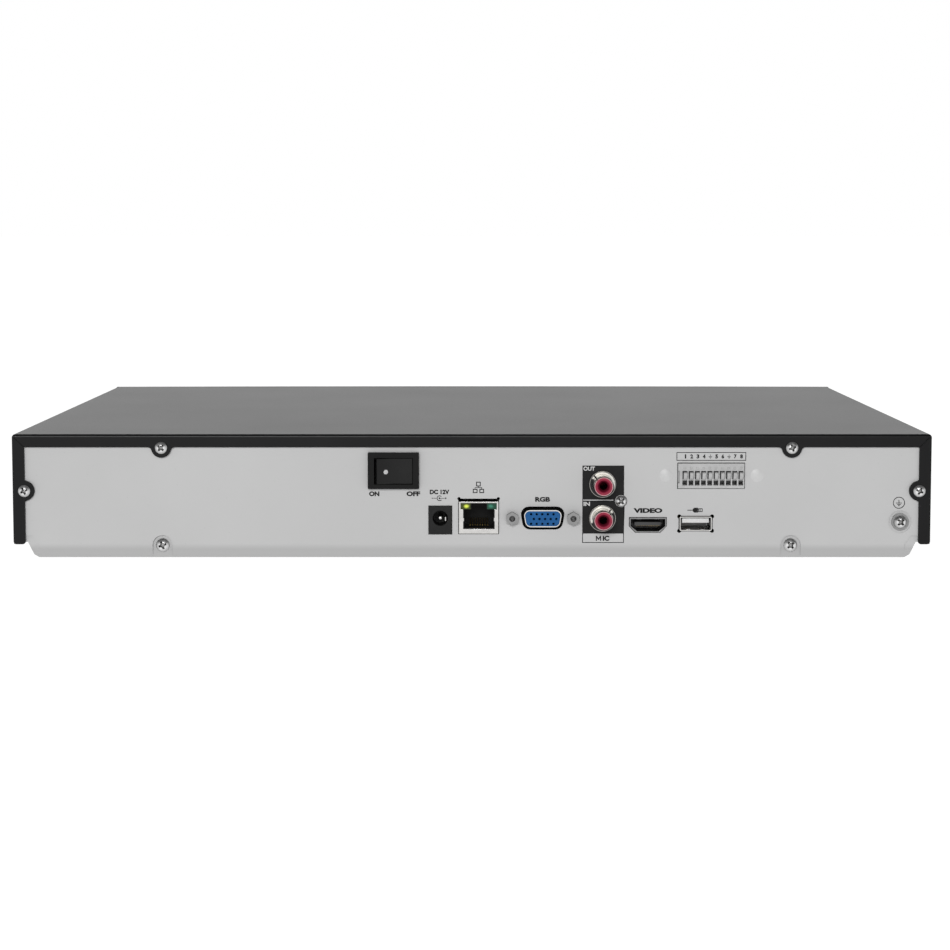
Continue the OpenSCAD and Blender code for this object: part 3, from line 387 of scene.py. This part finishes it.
def make_audio_red():
    """Red insulator, bright at its outer edge, with painted shade deepening down into the bore."""
    s = Shade("audio_red")
    radius, _, _ = from_audio_axis(s)
    wobble = s.math("MULTIPLY", s.math("SUBTRACT", s.noise(900), 0.5), 0.25 * MM)
    # painted shade: darker towards the axis, down in the bore
    outward = s.spread(s.math("ADD", radius, wobble), 0, 1, 0, 4 * MM)
    s.color(s.ramp(outward, [
        (0.3, (0.012, 0.001, 0.002)), (0.48, (0.07, 0.004, 0.011)), (0.7, (0.2, 0.011, 0.032)),
        (0.86, (0.27, 0.022, 0.05))]))
    s.rough(s.spread(s.noise(1200), 0.3, 0.42))
    s.bump(s.noise(1500), 0.01)
    s.set(specular_ior_level=0.2)
    return s


def make_audio_nickel():
    """Turned nickel with painted light: a flange painted dark as a dark reflection, a painted highlight
    line at its outer edge, a cream painted highlight crescent split by a seam, faces turned upward
    painted bright, and a pale pink painted highlight ring at the barrel's tip."""
    s = Shade("audio_nickel")
    radius, height, turned = from_audio_axis(s)
    # painted highlight: a cream crescent on the lit side of the flange, broken at the seam
    inner_edge = s.spread(radius, 0, 1, 4.15 * MM, 4.25 * MM)
    outer_edge = s.spread(radius, 1, 0, 4.95 * MM, 5.05 * MM)
    lit_side = s.spread(s.math("ADD", height, s.math("MULTIPLY", turned, 0.5)), 0, 1, 0, 0.6 * MM)
    off_seam = s.spread(s.math("ABSOLUTE", s.math("ADD", height, turned)), 0, 1, 0.3 * MM, 0.5 * MM)
    crescent = s.math("MULTIPLY", inner_edge, outer_edge)
    crescent = s.math("MULTIPLY", crescent, lit_side)
    crescent = s.math("MULTIPLY", crescent, off_seam)
    # painted highlight line at the flange's outer edge
    light = s.math("MAXIMUM", s.spread(radius, 0, 0.5, 5.15 * MM, 5.25 * MM), crescent)
    # painted reflection: upward faces bright, the rest dark
    up = s.ramp(s.axis("Z", "Normal"), [
        (0.0, grey(0.03)), (0.12, grey(0.1)), (0.4, grey(0.7, (1, 0.96, 0.88)))])
    flange = s.mix(light, up, grey(0.62, (1, 0.97, 0.9)))
    # painted highlight ring at the barrel's tip
    at_tip = s.spread(s.axis("Y"), 1, 0, (AUDIO_LOW[1] + 0.5) * MM, (AUDIO_LOW[1] + 0.9) * MM)
    tip_ring = s.math("MULTIPLY", at_tip, s.spread(radius, 1, 0, 3.66 * MM, 3.78 * MM))
    s.color(s.mix(tip_ring, flange, (0.62, 0.36, 0.38)))
    metal = s.math("SUBTRACT", 1.0, s.math("MULTIPLY", crescent, 0.85))
    s.join(metal, s.out.inputs["Metallic"])
    s.rough(s.spread(s.noise(500), 0.14, 0.28))
    s.bump(s.noise(40, 2, 0.5, (1, 60, 1)), 0.003)
    return s


# the look of each material slot, and of the nodes that have a look of their own
SHADES = {
    "cover_paint": make_cover_paint(),
    "panel_paint": make_panel_paint(),
    "zinc_steel": make_zinc(),
    "foot_rubber": finish_and_shade(
        "foot_rubber", grey(0.018), grey(0.03), (0.7, 0.9), (1800, 0.04), 200, specular=0.3),
    "bezel_plastic": finish_and_shade(
        "bezel_moulding", grey(0.007), grey(0.011), (0.26, 0.38), (1900, 0.012), specular=0.22),
    "smoked_window": finish_and_shade(
        "smoked_window", grey(0.002), grey(0.003), (0.04, 0.08), (500, 0.002), specular=0.4),
    "clear_lens": make_lens(),
    # nickel shells: painted shade on faces turned away from -Y
    "plated_shell": worn_metal_and_shade("nickel_shell", grey(0.62, (1, 0.985, 0.96)), (0.16, 0.32), rim=0.3),
    "white_plastic": finish_and_shade("white_moulding", grey(0.44), grey(0.52), (0.35, 0.5), (1600, 0.01)),
    "black_plastic": finish_and_shade(
        "black_moulding", grey(0.006), grey(0.009), (0.3, 0.42), (2000, 0.012), specular=0.16),
    # gold contacts: painted shade deep in the sockets
    "gold_contacts": worn_metal_and_shade("gold_flash", (0.36, 0.26, 0.1), (0.3, 0.45), deep=8),
    "indicator": make_lights(),
    "blue_plastic": finish_and_shade(
        "blue_moulding", (0.001, 0.056, 0.18), (0.002, 0.07, 0.21), (0.3, 0.42), (1500, 0.012),
        specular=0.2),
    # grey mouldings: painted shade in their holes and slots
    "grey_plastic": finish_and_shade("grey_moulding", grey(0.3), grey(0.345), (0.4, 0.58), (1500, 0.014), deep=1.2),
    "circuit_board": make_board("green_board", (0.008, 0.07, 0.03)),
    "board_parts": make_parts(),
    "bare_aluminium": finish_and_shade(
        "cast_aluminium", grey(0.42), grey(0.6), (0.35, 0.55), (700, 0.05), 120, metallic=1.0),
    "brass_standoff": worn_metal_and_shade("turned_brass", (0.72, 0.52, 0.22), (0.22, 0.36)),
    "cable_jacket": finish_and_shade(
        "cable_jacket", (0.16, 0.014, 0.012), (0.24, 0.02, 0.018), (0.4, 0.55), (1200, 0.01)),
    "lid_steel": worn_metal_and_shade("drive_lid_steel", grey(0.6), (0.25, 0.42), 0.015, (900, 12, 900)),
    "platter": worn_metal_and_shade("platter_mirror", grey(0.78), (0.05, 0.1), 0.001, (60, 60, 60)),
}
OWN = {
    # rivets a shade lighter than the panel paint: painted highlight on their heads
    "bracket_rivets": finish_and_shade(
        "rivet_paint", grey(PANEL_TONE * 1.02), grey(PANEL_TONE * 1.1), (0.35, 0.5), (900, 0.012)),
    "rocker_housing": finish_and_shade(
        "switch_housing", grey(0.0035), grey(0.005), (0.26, 0.34), (2000, 0.01), specular=0.12),
    "rocker": finish_and_shade("switch_rocker", grey(0.006), grey(0.008), (0.3, 0.4), (2000, 0.01), specular=0.16),
    "ground_washer": worn_metal_and_shade("toothed_washer", grey(0.22), (0.35, 0.55), 0.03),
    "audio_barrels": make_audio_nickel(),
    # painted shade on the shell's sides and, beyond behind, inside the panel's hole
    "vga_shell": worn_metal_and_shade(
        "vga_nickel", grey(0.7, (1, 0.985, 0.96)), (0.16, 0.3), rim=0.015, behind=PANEL_Y - 0.4),
    # painted shade on the jackscrews' sides and in their recesses
    "vga_jackscrews": worn_metal_and_shade("jackscrew_zinc", grey(0.26), (0.22, 0.36), rim=0.06, deep=2.0),
    "audio_insulators": make_audio_red(),
    # painted shade on the shell's sides and deep inside its mouth
    "hdmi_shell": worn_metal_and_shade("hdmi_nickel", grey(0.24), (0.2, 0.34), rim=0.05, deep=5),
    "hdmi_tongue": finish_and_shade(
        "hdmi_moulding", grey(0.022), grey(0.03), (0.3, 0.45), (2000, 0.012), specular=0.4),
    "network_insert": finish_and_shade(
        "network_moulding", grey(0.003), grey(0.0045), (0.3, 0.4), (2000, 0.012), specular=0.1),
    "heatsink": worn_metal_and_shade("extruded_aluminium", grey(0.62), (0.3, 0.5), 0.02, (900, 25, 900)),
    "audio_contacts": worn_metal_and_shade("audio_contact", (0.05, 0.006, 0.01), (0.35, 0.5)),
}
INK_BLACK = finish_and_shade(
    "black_ink", grey(0.006), grey(0.009), (0.45, 0.6), (2600, 0.003), 400, specular=0.12)
INK_WHITE = finish_and_shade("white_ink", grey(0.42), grey(0.5), (0.5, 0.65), (2600, 0.003), 400, specular=0.3)
DOT_PAINT = finish_and_shade("dot_paint", grey(0.34), grey(0.4), (0.5, 0.65), (2600, 0.003), 400, specular=0.3)
LEAF = worn_metal_and_shade("spring_leaf", grey(0.62), (0.2, 0.36))
GOLD = SHADES["gold_contacts"]


def paint(obj, shade):
    obj.data.materials.clear()
    obj.data.materials.append(shade.mat)


for node_name, node_obj in nodes.items():
    paint(node_obj, OWN.get(node_name) or SHADES[slot_of[node_name]])


# ---------- eased edges on the CAD nodes that show ----------

# how wide each node's eased edges are, in millimetres
EASED = {
    "top_cover": 0.35, "bottom_pan": 0.12, "front_bezel": 0.6, "front_window": 0.25,
    "rocker_housing": 0.25, "rocker": 0.25, "dc_jack_body": 0.12, "terminal_body": 0.08, "usb_tongue": 0.12,
    "hdmi_tongue": 0.08, "network_shell": 0.08, "audio_block": 0.3, "heatsink": 0.12, "fan_frame": 0.3,
    "drive_base": 0.5, "drive_lid": 0.2, "usb_shell": 0.06, "hdmi_shell": 0.06, "network_insert": 0.06,
}
EASED.update({f"lever_{k + 1}": 0.1 for k in range(WAYS)})


def ease(obj, width_mm):
    """Rounded edges on a CAD node whose faces come in as separate sheets."""
    weld = obj.modifiers.new("weld", "WELD")
    weld.merge_threshold = 0.01 * MM
    bevel = obj.modifiers.new("eased_edges", "BEVEL")
    bevel.width = width_mm * MM
    bevel.segments = 2
    bevel.limit_method = "ANGLE"
    bevel.angle_limit = math.radians(38)
    bevel.use_clamp_overlap = True
    bevel.harden_normals = False
    normals = obj.modifiers.new("flat_faces", "WEIGHTED_NORMAL")
    normals.keep_sharp = False
    normals.weight = 100


for node_name, width in EASED.items():
    ease(nodes[node_name], width)


# ---------- printed marks ----------

# thickness of the ink, how far its face stands from the panel, and how much its strokes are thickened
INK_T = 0.04
INK_FRONT = PANEL_Y - 0.03
WHITE_FRONT = INK_FRONT - 0.03
DARK_WEIGHT, WIDE_WEIGHT, WHITE_WEIGHT = 0.055, 0.06, 0.03


def add_piece(name, mesh, shade, body="root"):
    """A piece of the visual model that moves with a body and wears the given material."""
    obj = bpy.data.objects.new(name, mesh)
    bpy.context.scene.collection.objects.link(obj)
    paint(obj, shade)
    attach(obj, body)


def curve_mesh(curve, name):
    """The filled, extruded shape of a curve as a mesh of its own."""
    holder = bpy.data.objects.new(name + "_curve", curve)
    bpy.context.scene.collection.objects.link(holder)
    seen = bpy.context.evaluated_depsgraph_get()
    mesh = bpy.data.meshes.new_from_object(holder.evaluated_get(seen))
    bpy.data.objects.remove(holder)
    bpy.data.curves.remove(curve)
    mesh.name = name
    mesh.validate()
    return mesh


def stand_up(mesh, front, x=None, z=None):
    """A flat shape in X and Y stands up on the panel, inside the ranges x and z where they are given."""
    points = [v.co for v in mesh.vertices]
    low = [min(p[k] for p in points) for k in range(3)]
    high = [max(p[k] for p in points) for k in range(3)]

    def put(value, k, span):
        if span is None:
            return value * MM
        return (span[0] + (value - low[k]) / (high[k] - low[k]) * (span[1] - span[0])) * MM

    for vertex in mesh.vertices:
        px, py, pz = vertex.co
        depth = (pz - low[2]) / (high[2] - low[2])
        vertex.co = (put(px, 0, x), (front + INK_T - depth * INK_T) * MM, put(py, 1, z))


def add_ink(name, mesh, white):
    shade, slot = (INK_WHITE, "white_plastic") if white else (INK_BLACK, "black_plastic")
    add_piece(name, mesh, shade)


def add_text(name, words, x, z, weight=DARK_WEIGHT, white=False):
    """Printed words that fill the ranges x and z; weight thickens the strokes."""
    curve = bpy.data.curves.new(name, "FONT")
    curve.body = words
    curve.extrude = 0.1
    curve.offset = weight
    curve.resolution_u = 4
    mesh = curve_mesh(curve, name)
    stand_up(mesh, WHITE_FRONT if white else INK_FRONT, x, z)
    add_ink(name, mesh, white)


def add_shape(name, loops, white=False):
    """Flat printed shape from closed outlines in X and Z; an outline inside another is a hole."""
    curve = bpy.data.curves.new(name, "CURVE")
    curve.dimensions = "2D"
    curve.fill_mode = "BOTH"
    curve.extrude = 0.1
    for loop in loops:
        spline = curve.splines.new("POLY")
        spline.points.add(len(loop) - 1)
        for point, (x, z) in zip(spline.points, loop):
            point.co = (x, z, 0, 1)
        spline.use_cyclic_u = True
    mesh = curve_mesh(curve, name)
    stand_up(mesh, WHITE_FRONT if white else INK_FRONT)
    add_ink(name, mesh, white)


def bar(x0, z0, x1, z1):
    return [(x0, z0), (x1, z0), (x1, z1), (x0, z1)]


def circle(x, z, r, n=40):
    turn = [2 * math.pi * k / n for k in range(n)]
    return [(x + r * math.cos(a), z + r * math.sin(a)) for a in turn]


def ring(x, z, r, line):
    return [circle(x, z, r), circle(x, z, r - line)]


def frame_loops(x0, z0, x1, z1, line):
    return [bar(x0, z0, x1, z1), bar(x0 + line, z0 + line, x1 - line, z1 - line)]


def arc_band(x, z, r, line, start, end, n=14):
    """Part of a ring, from one angle to another, as one closed outline."""
    turn = [math.radians(start + (end - start) * k / n) for k in range(n + 1)]
    outer = [(x + r * math.cos(a), z + r * math.sin(a)) for a in turn]
    inner = [(x + (r - line) * math.cos(a), z + (r - line) * math.sin(a)) for a in reversed(turn)]
    return outer + inner


def earth_loops(x, z, size, line):
    """The earth sign: a stem on three bars that grow shorter."""
    loops = [bar(x - line / 2, z + line / 2, x + line / 2, z + size)]
    for k, half in enumerate((0.85, 0.55, 0.25)):
        top = z + line / 2 - 2 * line * k
        loops.append(bar(x - half * size, top - line, x + half * size, top))
    return loops


def print_polarity(x, z):
    """Centre-positive sign: an open ring round a dot, a minus at the left and a plus at the right."""
    line = 0.1
    dot_and_ring = [arc_band(x, z, 1.15, 0.3, 40, 320), circle(x, z, 0.35, 20)]
    leads = [bar(x + 0.4, z - line, x + 1.9, z + line), bar(x - 2.3, z - line, x - 1.2, z + line)]
    minus = bar(x - 3.2, z - 0.12, x - 2.5, z + 0.12)
    plus = [bar(x + 2.1, z - 0.12, x + 2.9, z + 0.12)]
    plus += [bar(x + 2.38, z + 0.12, x + 2.62, z + 0.4), bar(x + 2.38, z - 0.4, x + 2.62, z - 0.12)]
    add_shape("mark_polarity", [*dot_and_ring, *leads, minus, *plus])


def print_network_sign(x, z):
    """Three screens joined by a bus line."""
    line = 0.36
    screens = frame_loops(x - 0.95, z + 2.75, x + 0.95, z + 4.65, line)
    screens += frame_loops(x - 2.3, z, x - 0.4, z + 1.7, line)
    screens += frame_loops(x + 0.4, z, x + 2.3, z + 1.7, line)
    bus = [bar(x - 0.13, z + 2.35, x + 0.13, z + 2.75), bar(x - 1.5, z + 2.1, x + 1.5, z + 2.35)]
    bus += [bar(x - 1.5, z + 1.7, x - 1.24, z + 2.1), bar(x + 1.24, z + 1.7, x + 1.5, z + 2.1)]
    add_shape("mark_network", screens + bus)


def print_plug_sign(x, z):
    """A cord that runs into a plug with a two-hole metal end."""
    upper = [(x - 3.1, 0.16), (x - 0.9, 0.16), (x - 0.9, 0.5), (x - 0.3, 1.0), (x + 1.25, 1.0)]
    body = [(px, z - half) for px, half in upper] + [(px, z + half) for px, half in reversed(upper)]
    metal_end = frame_loops(x + 1.3, z - 0.75, x + 3.1, z + 0.75, 0.3)
    holes = [bar(x + 1.85, z + 0.12, x + 2.35, z + 0.36), bar(x + 1.85, z - 0.36, x + 2.35, z - 0.12)]
    add_shape("mark_plug", [body, *metal_end, *holes])


def print_marks():
    add_text("mark_on", "ON", (SWITCH[0] - 10.0, SWITCH[0] - 5.8), (27.9, 29.9))
    add_text("mark_off", "OFF", (SWITCH[0] + 5.3, SWITCH[0] + 10.9), (27.9, 29.9))
    add_text("mark_dc_12v", "DC 12V", (JACK[0] - 4.3, JACK[0] + 3.7), (28.7, 30.6))
    print_polarity(JACK[0] - 0.3, 27.05)
    print_network_sign(NET[0] - 0.1, 29.2)
    add_text("mark_rgb", "RGB", (VGA[0] - 3.1, VGA[0] + 3.0), (25.6, 27.6))
    add_text("mark_video", "VIDEO", (HDMI[0] - 5.9, HDMI[0] + 5.9), (21.0, 23.0), WIDE_WEIGHT)
    print_plug_sign(USB[0] - 0.3, 22.15)
    x, z = GROUND[0] - 0.5, 25.2
    add_shape("mark_earth", ring(x, z, 2.45, 0.3) + earth_loops(x, z - 0.1, 1.35, 0.28))


def print_audio_label():
    """Dark label round the audio sockets with white words, and a framed word below it."""
    x0, x1 = AUDIO_X - 8.25, AUDIO_X + 8.8
    z0, z1, frame_z, line = 12.5, 40.5, 8.65, 0.3
    holes = [circle(AUDIO_X, z, 5.5, 64) for z in AUDIO_Z]
    add_shape("label_audio", [bar(x0, z0, x1, z1), *holes, circle(SCREW[0], SCREW[2], 2.5, 40)])
    add_shape("label_divider", [bar(x0 + 0.2, 26.15, SCREW[0] - 3.2, 26.45)], white=True)
    add_text("mark_out", "OUT", (x0 + 0.4, x0 + 5.1), (38.4, 40.1), WHITE_WEIGHT, white=True)
    add_text("mark_in", "IN", (x0 + 0.5, x0 + 3.1), (23.9, 25.6), WHITE_WEIGHT, white=True)
    outside = [(x0, z0), (x0, frame_z), (x1, frame_z), (x1, z0)]
    inside = [(x1 - line, z0), (x1 - line, frame_z + line), (x0 + line, frame_z + line), (x0 + line, z0)]
    add_shape("label_mic_frame", [outside + inside])
    add_text("mark_mic_ic", "IC", (AUDIO_X + 0.15, AUDIO_X + 2.85), (9.5, 11.6))
    x, z, width, height, stroke = AUDIO_X - 2.65, 9.5, 2.15, 2.1, 0.42
    left_leg = [(0, 0), (stroke, 0), (stroke, height * 0.58), (width / 2, height * 0.12)]
    right_leg = [(width - stroke, height * 0.58), (width - stroke, 0), (width, 0), (width, height)]
    top = [(width - stroke, height), (width / 2, height * 0.5), (stroke, height), (0, height)]
    add_shape("mark_mic_m", [[(x + px, z + pz) for px, pz in left_leg + right_leg + top]])


def print_terminal_label():
    """Framed row of digits and earth signs over the wire terminals."""
    low, high = box_mm("terminal_body")
    add_shape("label_terminals", frame_loops(low[0] - 0.65, 42.5, high[0] + 0.7, 46.0, 0.28))
    earth = []
    for k, sign in enumerate(["1", "2", "3", "4", None, "5", "6", None, "7", "8"]):
        x = WAY_X0 + k * WAY_PITCH + 0.25
        if sign is None:
            earth += earth_loops(x, 44.2, 0.85, 0.18)
        else:
            half = 0.28 if sign == "1" else 0.55
            add_text(f"mark_way_{sign}", sign, (x - half, x + half), (43.4, 45.1))
    add_shape("mark_way_earths", earth)


def mark_rocker():
    """White dot pressed flat against the raised half of the rocker, riding with it."""
    rocker = nodes["rocker"]
    start = Vector((SWITCH[0] - 3.05, PANEL_Y - 30, 38.06)) * MM
    hit, place, normal, _ = rocker.ray_cast(start, Vector((0, 1, 0)))
    if not hit:
        raise RuntimeError("the dot's ray misses the rocker")
    side = Vector((0, 0, 1)).cross(normal).normalized()
    up = normal.cross(side).normalized()
    around = 36
    mesh = bpy.data.meshes.new("rocker_dot")
    bm = bmesh.new()
    loops = []
    for r, lift in ((0.92, -0.01), (0.92, 0.015), (0.84, 0.03)):
        flat = circle(0, 0, r, around)
        loops.append([bm.verts.new(place + (side * x + up * z + normal * lift) * MM) for x, z in flat])
    for a, b in zip(loops, loops[1:]):
        for k in range(around):
            n = (k + 1) % around
            bm.faces.new((a[k], a[n], b[n], b[k]))
    bm.faces.new(loops[-1])
    bm.faces.new(list(reversed(loops[0])))
    bmesh.ops.recalc_face_normals(bm, faces=bm.faces)
    bm.to_mesh(mesh)
    bm.free()
    add_piece("rocker_dot", mesh, DOT_PAINT, "rocker")


# ---------- bent strips inside the sockets ----------

def add_strips(name, strips, thick, shade):
    """Thin bent strips as one piece: each is a path in Y and Z and a range in X, in millimetres."""
    bm = bmesh.new()
    for path, (x0, x1) in strips:
        rows = []
        for k, (y, z) in enumerate(path):
            a = path[max(k - 1, 0)]
            b = path[min(k + 1, len(path) - 1)]
            along = Vector((b[0] - a[0], b[1] - a[1])).normalized()
            off = Vector((-along.y, along.x)) * thick / 2
            rows.append([bm.verts.new(Vector((x, y + side * off.x, z + side * off.y)) * MM)
                         for x, side in ((x0, -1), (x1, -1), (x1, 1), (x0, 1))])
        for a, b in zip(rows, rows[1:]):
            for k in range(4):
                bm.faces.new((a[k], a[(k + 1) % 4], b[(k + 1) % 4], b[k]))
        bm.faces.new(rows[0])
        bm.faces.new(list(reversed(rows[-1])))
    bmesh.ops.recalc_face_normals(bm, faces=bm.faces)
    mesh = bpy.data.meshes.new(name)
    bm.to_mesh(mesh)
    bm.free()
    add_piece(name, mesh, shade)


def about(middle, half):
    return middle - half, middle + half


def usb_strips(prefix, node, mouth, inward):
    """Four gold contacts under a socket's tongue and two sprung leaves on its floor."""
    middle_x, _, middle_z = centre_mm(node)

    def path(steps, z):
        return [(mouth + inward * depth, z + rise) for depth, rise in steps]

    contact = path([(1.3, 0.02), (1.9, -0.1), (3.2, -0.1), (8, -0.02)], middle_z + 0.3)
    spots = ((-3.5, 0.55), (-1.0, 0.5), (1.0, 0.5), (3.5, 0.55))
    contacts = [(contact, about(middle_x + dx, half)) for dx, half in spots]
    add_strips(prefix + "_contacts", contacts, 0.12, GOLD)
    leaf = path([(1.0, 0.05), (3.0, 0.35), (4.2, 0.55), (6.0, 0.08)], middle_z - 2.45)
    leaves = [(leaf, about(middle_x + dx, 0.9)) for dx in (-3.0, 3.0)]
    add_strips(prefix + "_leaves", leaves, 0.15, LEAF)


def fill_sockets():
    """Contacts and springs that show in the mouths of the sockets."""
    usb_strips("usb", "usb_shell", box_mm("usb_shell")[0][1], 1)
    usb_strips("front_usb", "front_usb_shell", box_mm("front_usb_shell")[1][1], -1)
    mouth = box_mm("hdmi_shell")[0][1]
    under, roof = HDMI[2] - 0.4, HDMI[2] + 2.5
    tooth = [(mouth + 1.45, under), (mouth + 2.2, under - 0.08), (mouth + 8, under - 0.02)]
    teeth = [(tooth, about(HDMI[0] - 4.5 + k, 0.22)) for k in range(10)]
    add_strips("hdmi_contacts", teeth, 0.1, GOLD)
    leaf = [(mouth + 0.9, roof - 0.05), (mouth + 3, roof - 0.4), (mouth + 5, roof - 0.1)]
    leaves = [(leaf, about(HDMI[0] + dx, 1.1)) for dx in (-3.6, 3.6)]
    add_strips("hdmi_leaves", leaves, 0.14, LEAF)
    clamp = [(PANEL_Y + 0.6, WAY_Z + 0.95), (PANEL_Y + 2.4, WAY_Z + 0.1), (PANEL_Y + 4.6, WAY_Z - 0.85)]
    clamps = [(clamp, about(WAY_X0 + k * WAY_PITCH, 0.75)) for k in range(WAYS)]
    add_strips("terminal_clamps", clamps, 0.14, LEAF)


# ---------- camera, light and floor ----------

# camera in millimetres, light and floor in metres
CAMERA_AT = (1.3, LIP_Y - 907.9, 138.4)
CAMERA_DOWN_DEG = 4.93
KEY_AT = (-0.3, -2.6, 1.0)
KEY_TARGET = (0, -0.1, 0.03)
KEY_SIZE = (1.3, 0.6)
KEY_POWER = 48
SKY = [(0.0, 1.0), (0.18, 1.0), (0.36, 0.35), (0.6, 0.15)]
FLOOR_HALF = 25


def add_camera():
    """Camera behind and a little above the recorder, looking at its sockets."""
    data = bpy.data.cameras.new("camera")
    data.lens = 84.8
    data.sensor_width = 36
    data.shift_y = -0.06
    data.clip_start = 0.05
    data.clip_end = 60
    cam = bpy.data.objects.new("camera", data)
    cam.location = tuple(v * MM for v in CAMERA_AT)
    cam.rotation_euler = (math.radians(90 - CAMERA_DOWN_DEG), 0, 0)
    bpy.context.scene.collection.objects.link(cam)
    bpy.context.scene.camera = cam


def add_key_light():
    """Soft box above and left of the camera."""
    data = bpy.data.lights.new("key", "AREA")
    data.shape = "RECTANGLE"
    data.size, data.size_y = KEY_SIZE
    data.energy = KEY_POWER
    light = bpy.data.objects.new("key", data)
    light.location = KEY_AT
    direction = Vector(KEY_TARGET) - Vector(KEY_AT)
    light.rotation_euler = direction.to_track_quat("-Z", "Y").to_euler()
    bpy.context.scene.collection.objects.link(light)


def add_world():
    """White surround at the horizon that falls to grey overhead."""
    world = bpy.data.worlds.new("studio")
    bpy.context.scene.world = world
    world.use_nodes = True
    tree = world.node_tree
    coords = tree.nodes.new("ShaderNodeTexCoord")
    parts = tree.nodes.new("ShaderNodeSeparateXYZ")
    ramp = tree.nodes.new("ShaderNodeValToRGB")
    points = ramp.color_ramp.elements
    while len(points) < len(SKY):
        points.new(0.5)
    for point, (at, value) in zip(points, SKY):
        point.position = at
        point.color = (*grey(value), 1)
    tree.links.new(coords.outputs["Generated"], parts.inputs["Vector"])
    tree.links.new(parts.outputs["Z"], ramp.inputs["Fac"])
    tree.links.new(ramp.outputs["Color"], tree.nodes["Background"].inputs["Color"])
    tree.nodes["Background"].inputs["Strength"].default_value = 1.0


def add_floor():
    """Plain pale paper, wide enough that its edge is lost in the white surround."""
    mesh = bpy.data.meshes.new("floor")
    corners = [(x * FLOOR_HALF, y * FLOOR_HALF, 0) for x, y in ((-1, -1), (1, -1), (1, 1), (-1, 1))]
    mesh.from_pydata(corners, [], [(0, 1, 2, 3)])
    floor = bpy.data.objects.new("floor", mesh)
    bpy.context.scene.collection.objects.link(floor)
    s = Shade("floor_paper")
    s.color(s.ramp(s.noise(3, 3), [(0.3, grey(0.2)), (0.7, grey(0.22))]))
    s.set(roughness=0.95, specular_ior_level=0.0, emission_color=(1, 1, 1, 1), emission_strength=0.97)
    mesh.materials.append(s.mat)


print_marks()
print_audio_label()
print_terminal_label()
mark_rocker()
fill_sockets()

bpy.context.scene.view_settings.view_transform = "Standard"
add_camera()
add_world()
add_floor()
add_key_light()

bpy.context.view_layer.update()
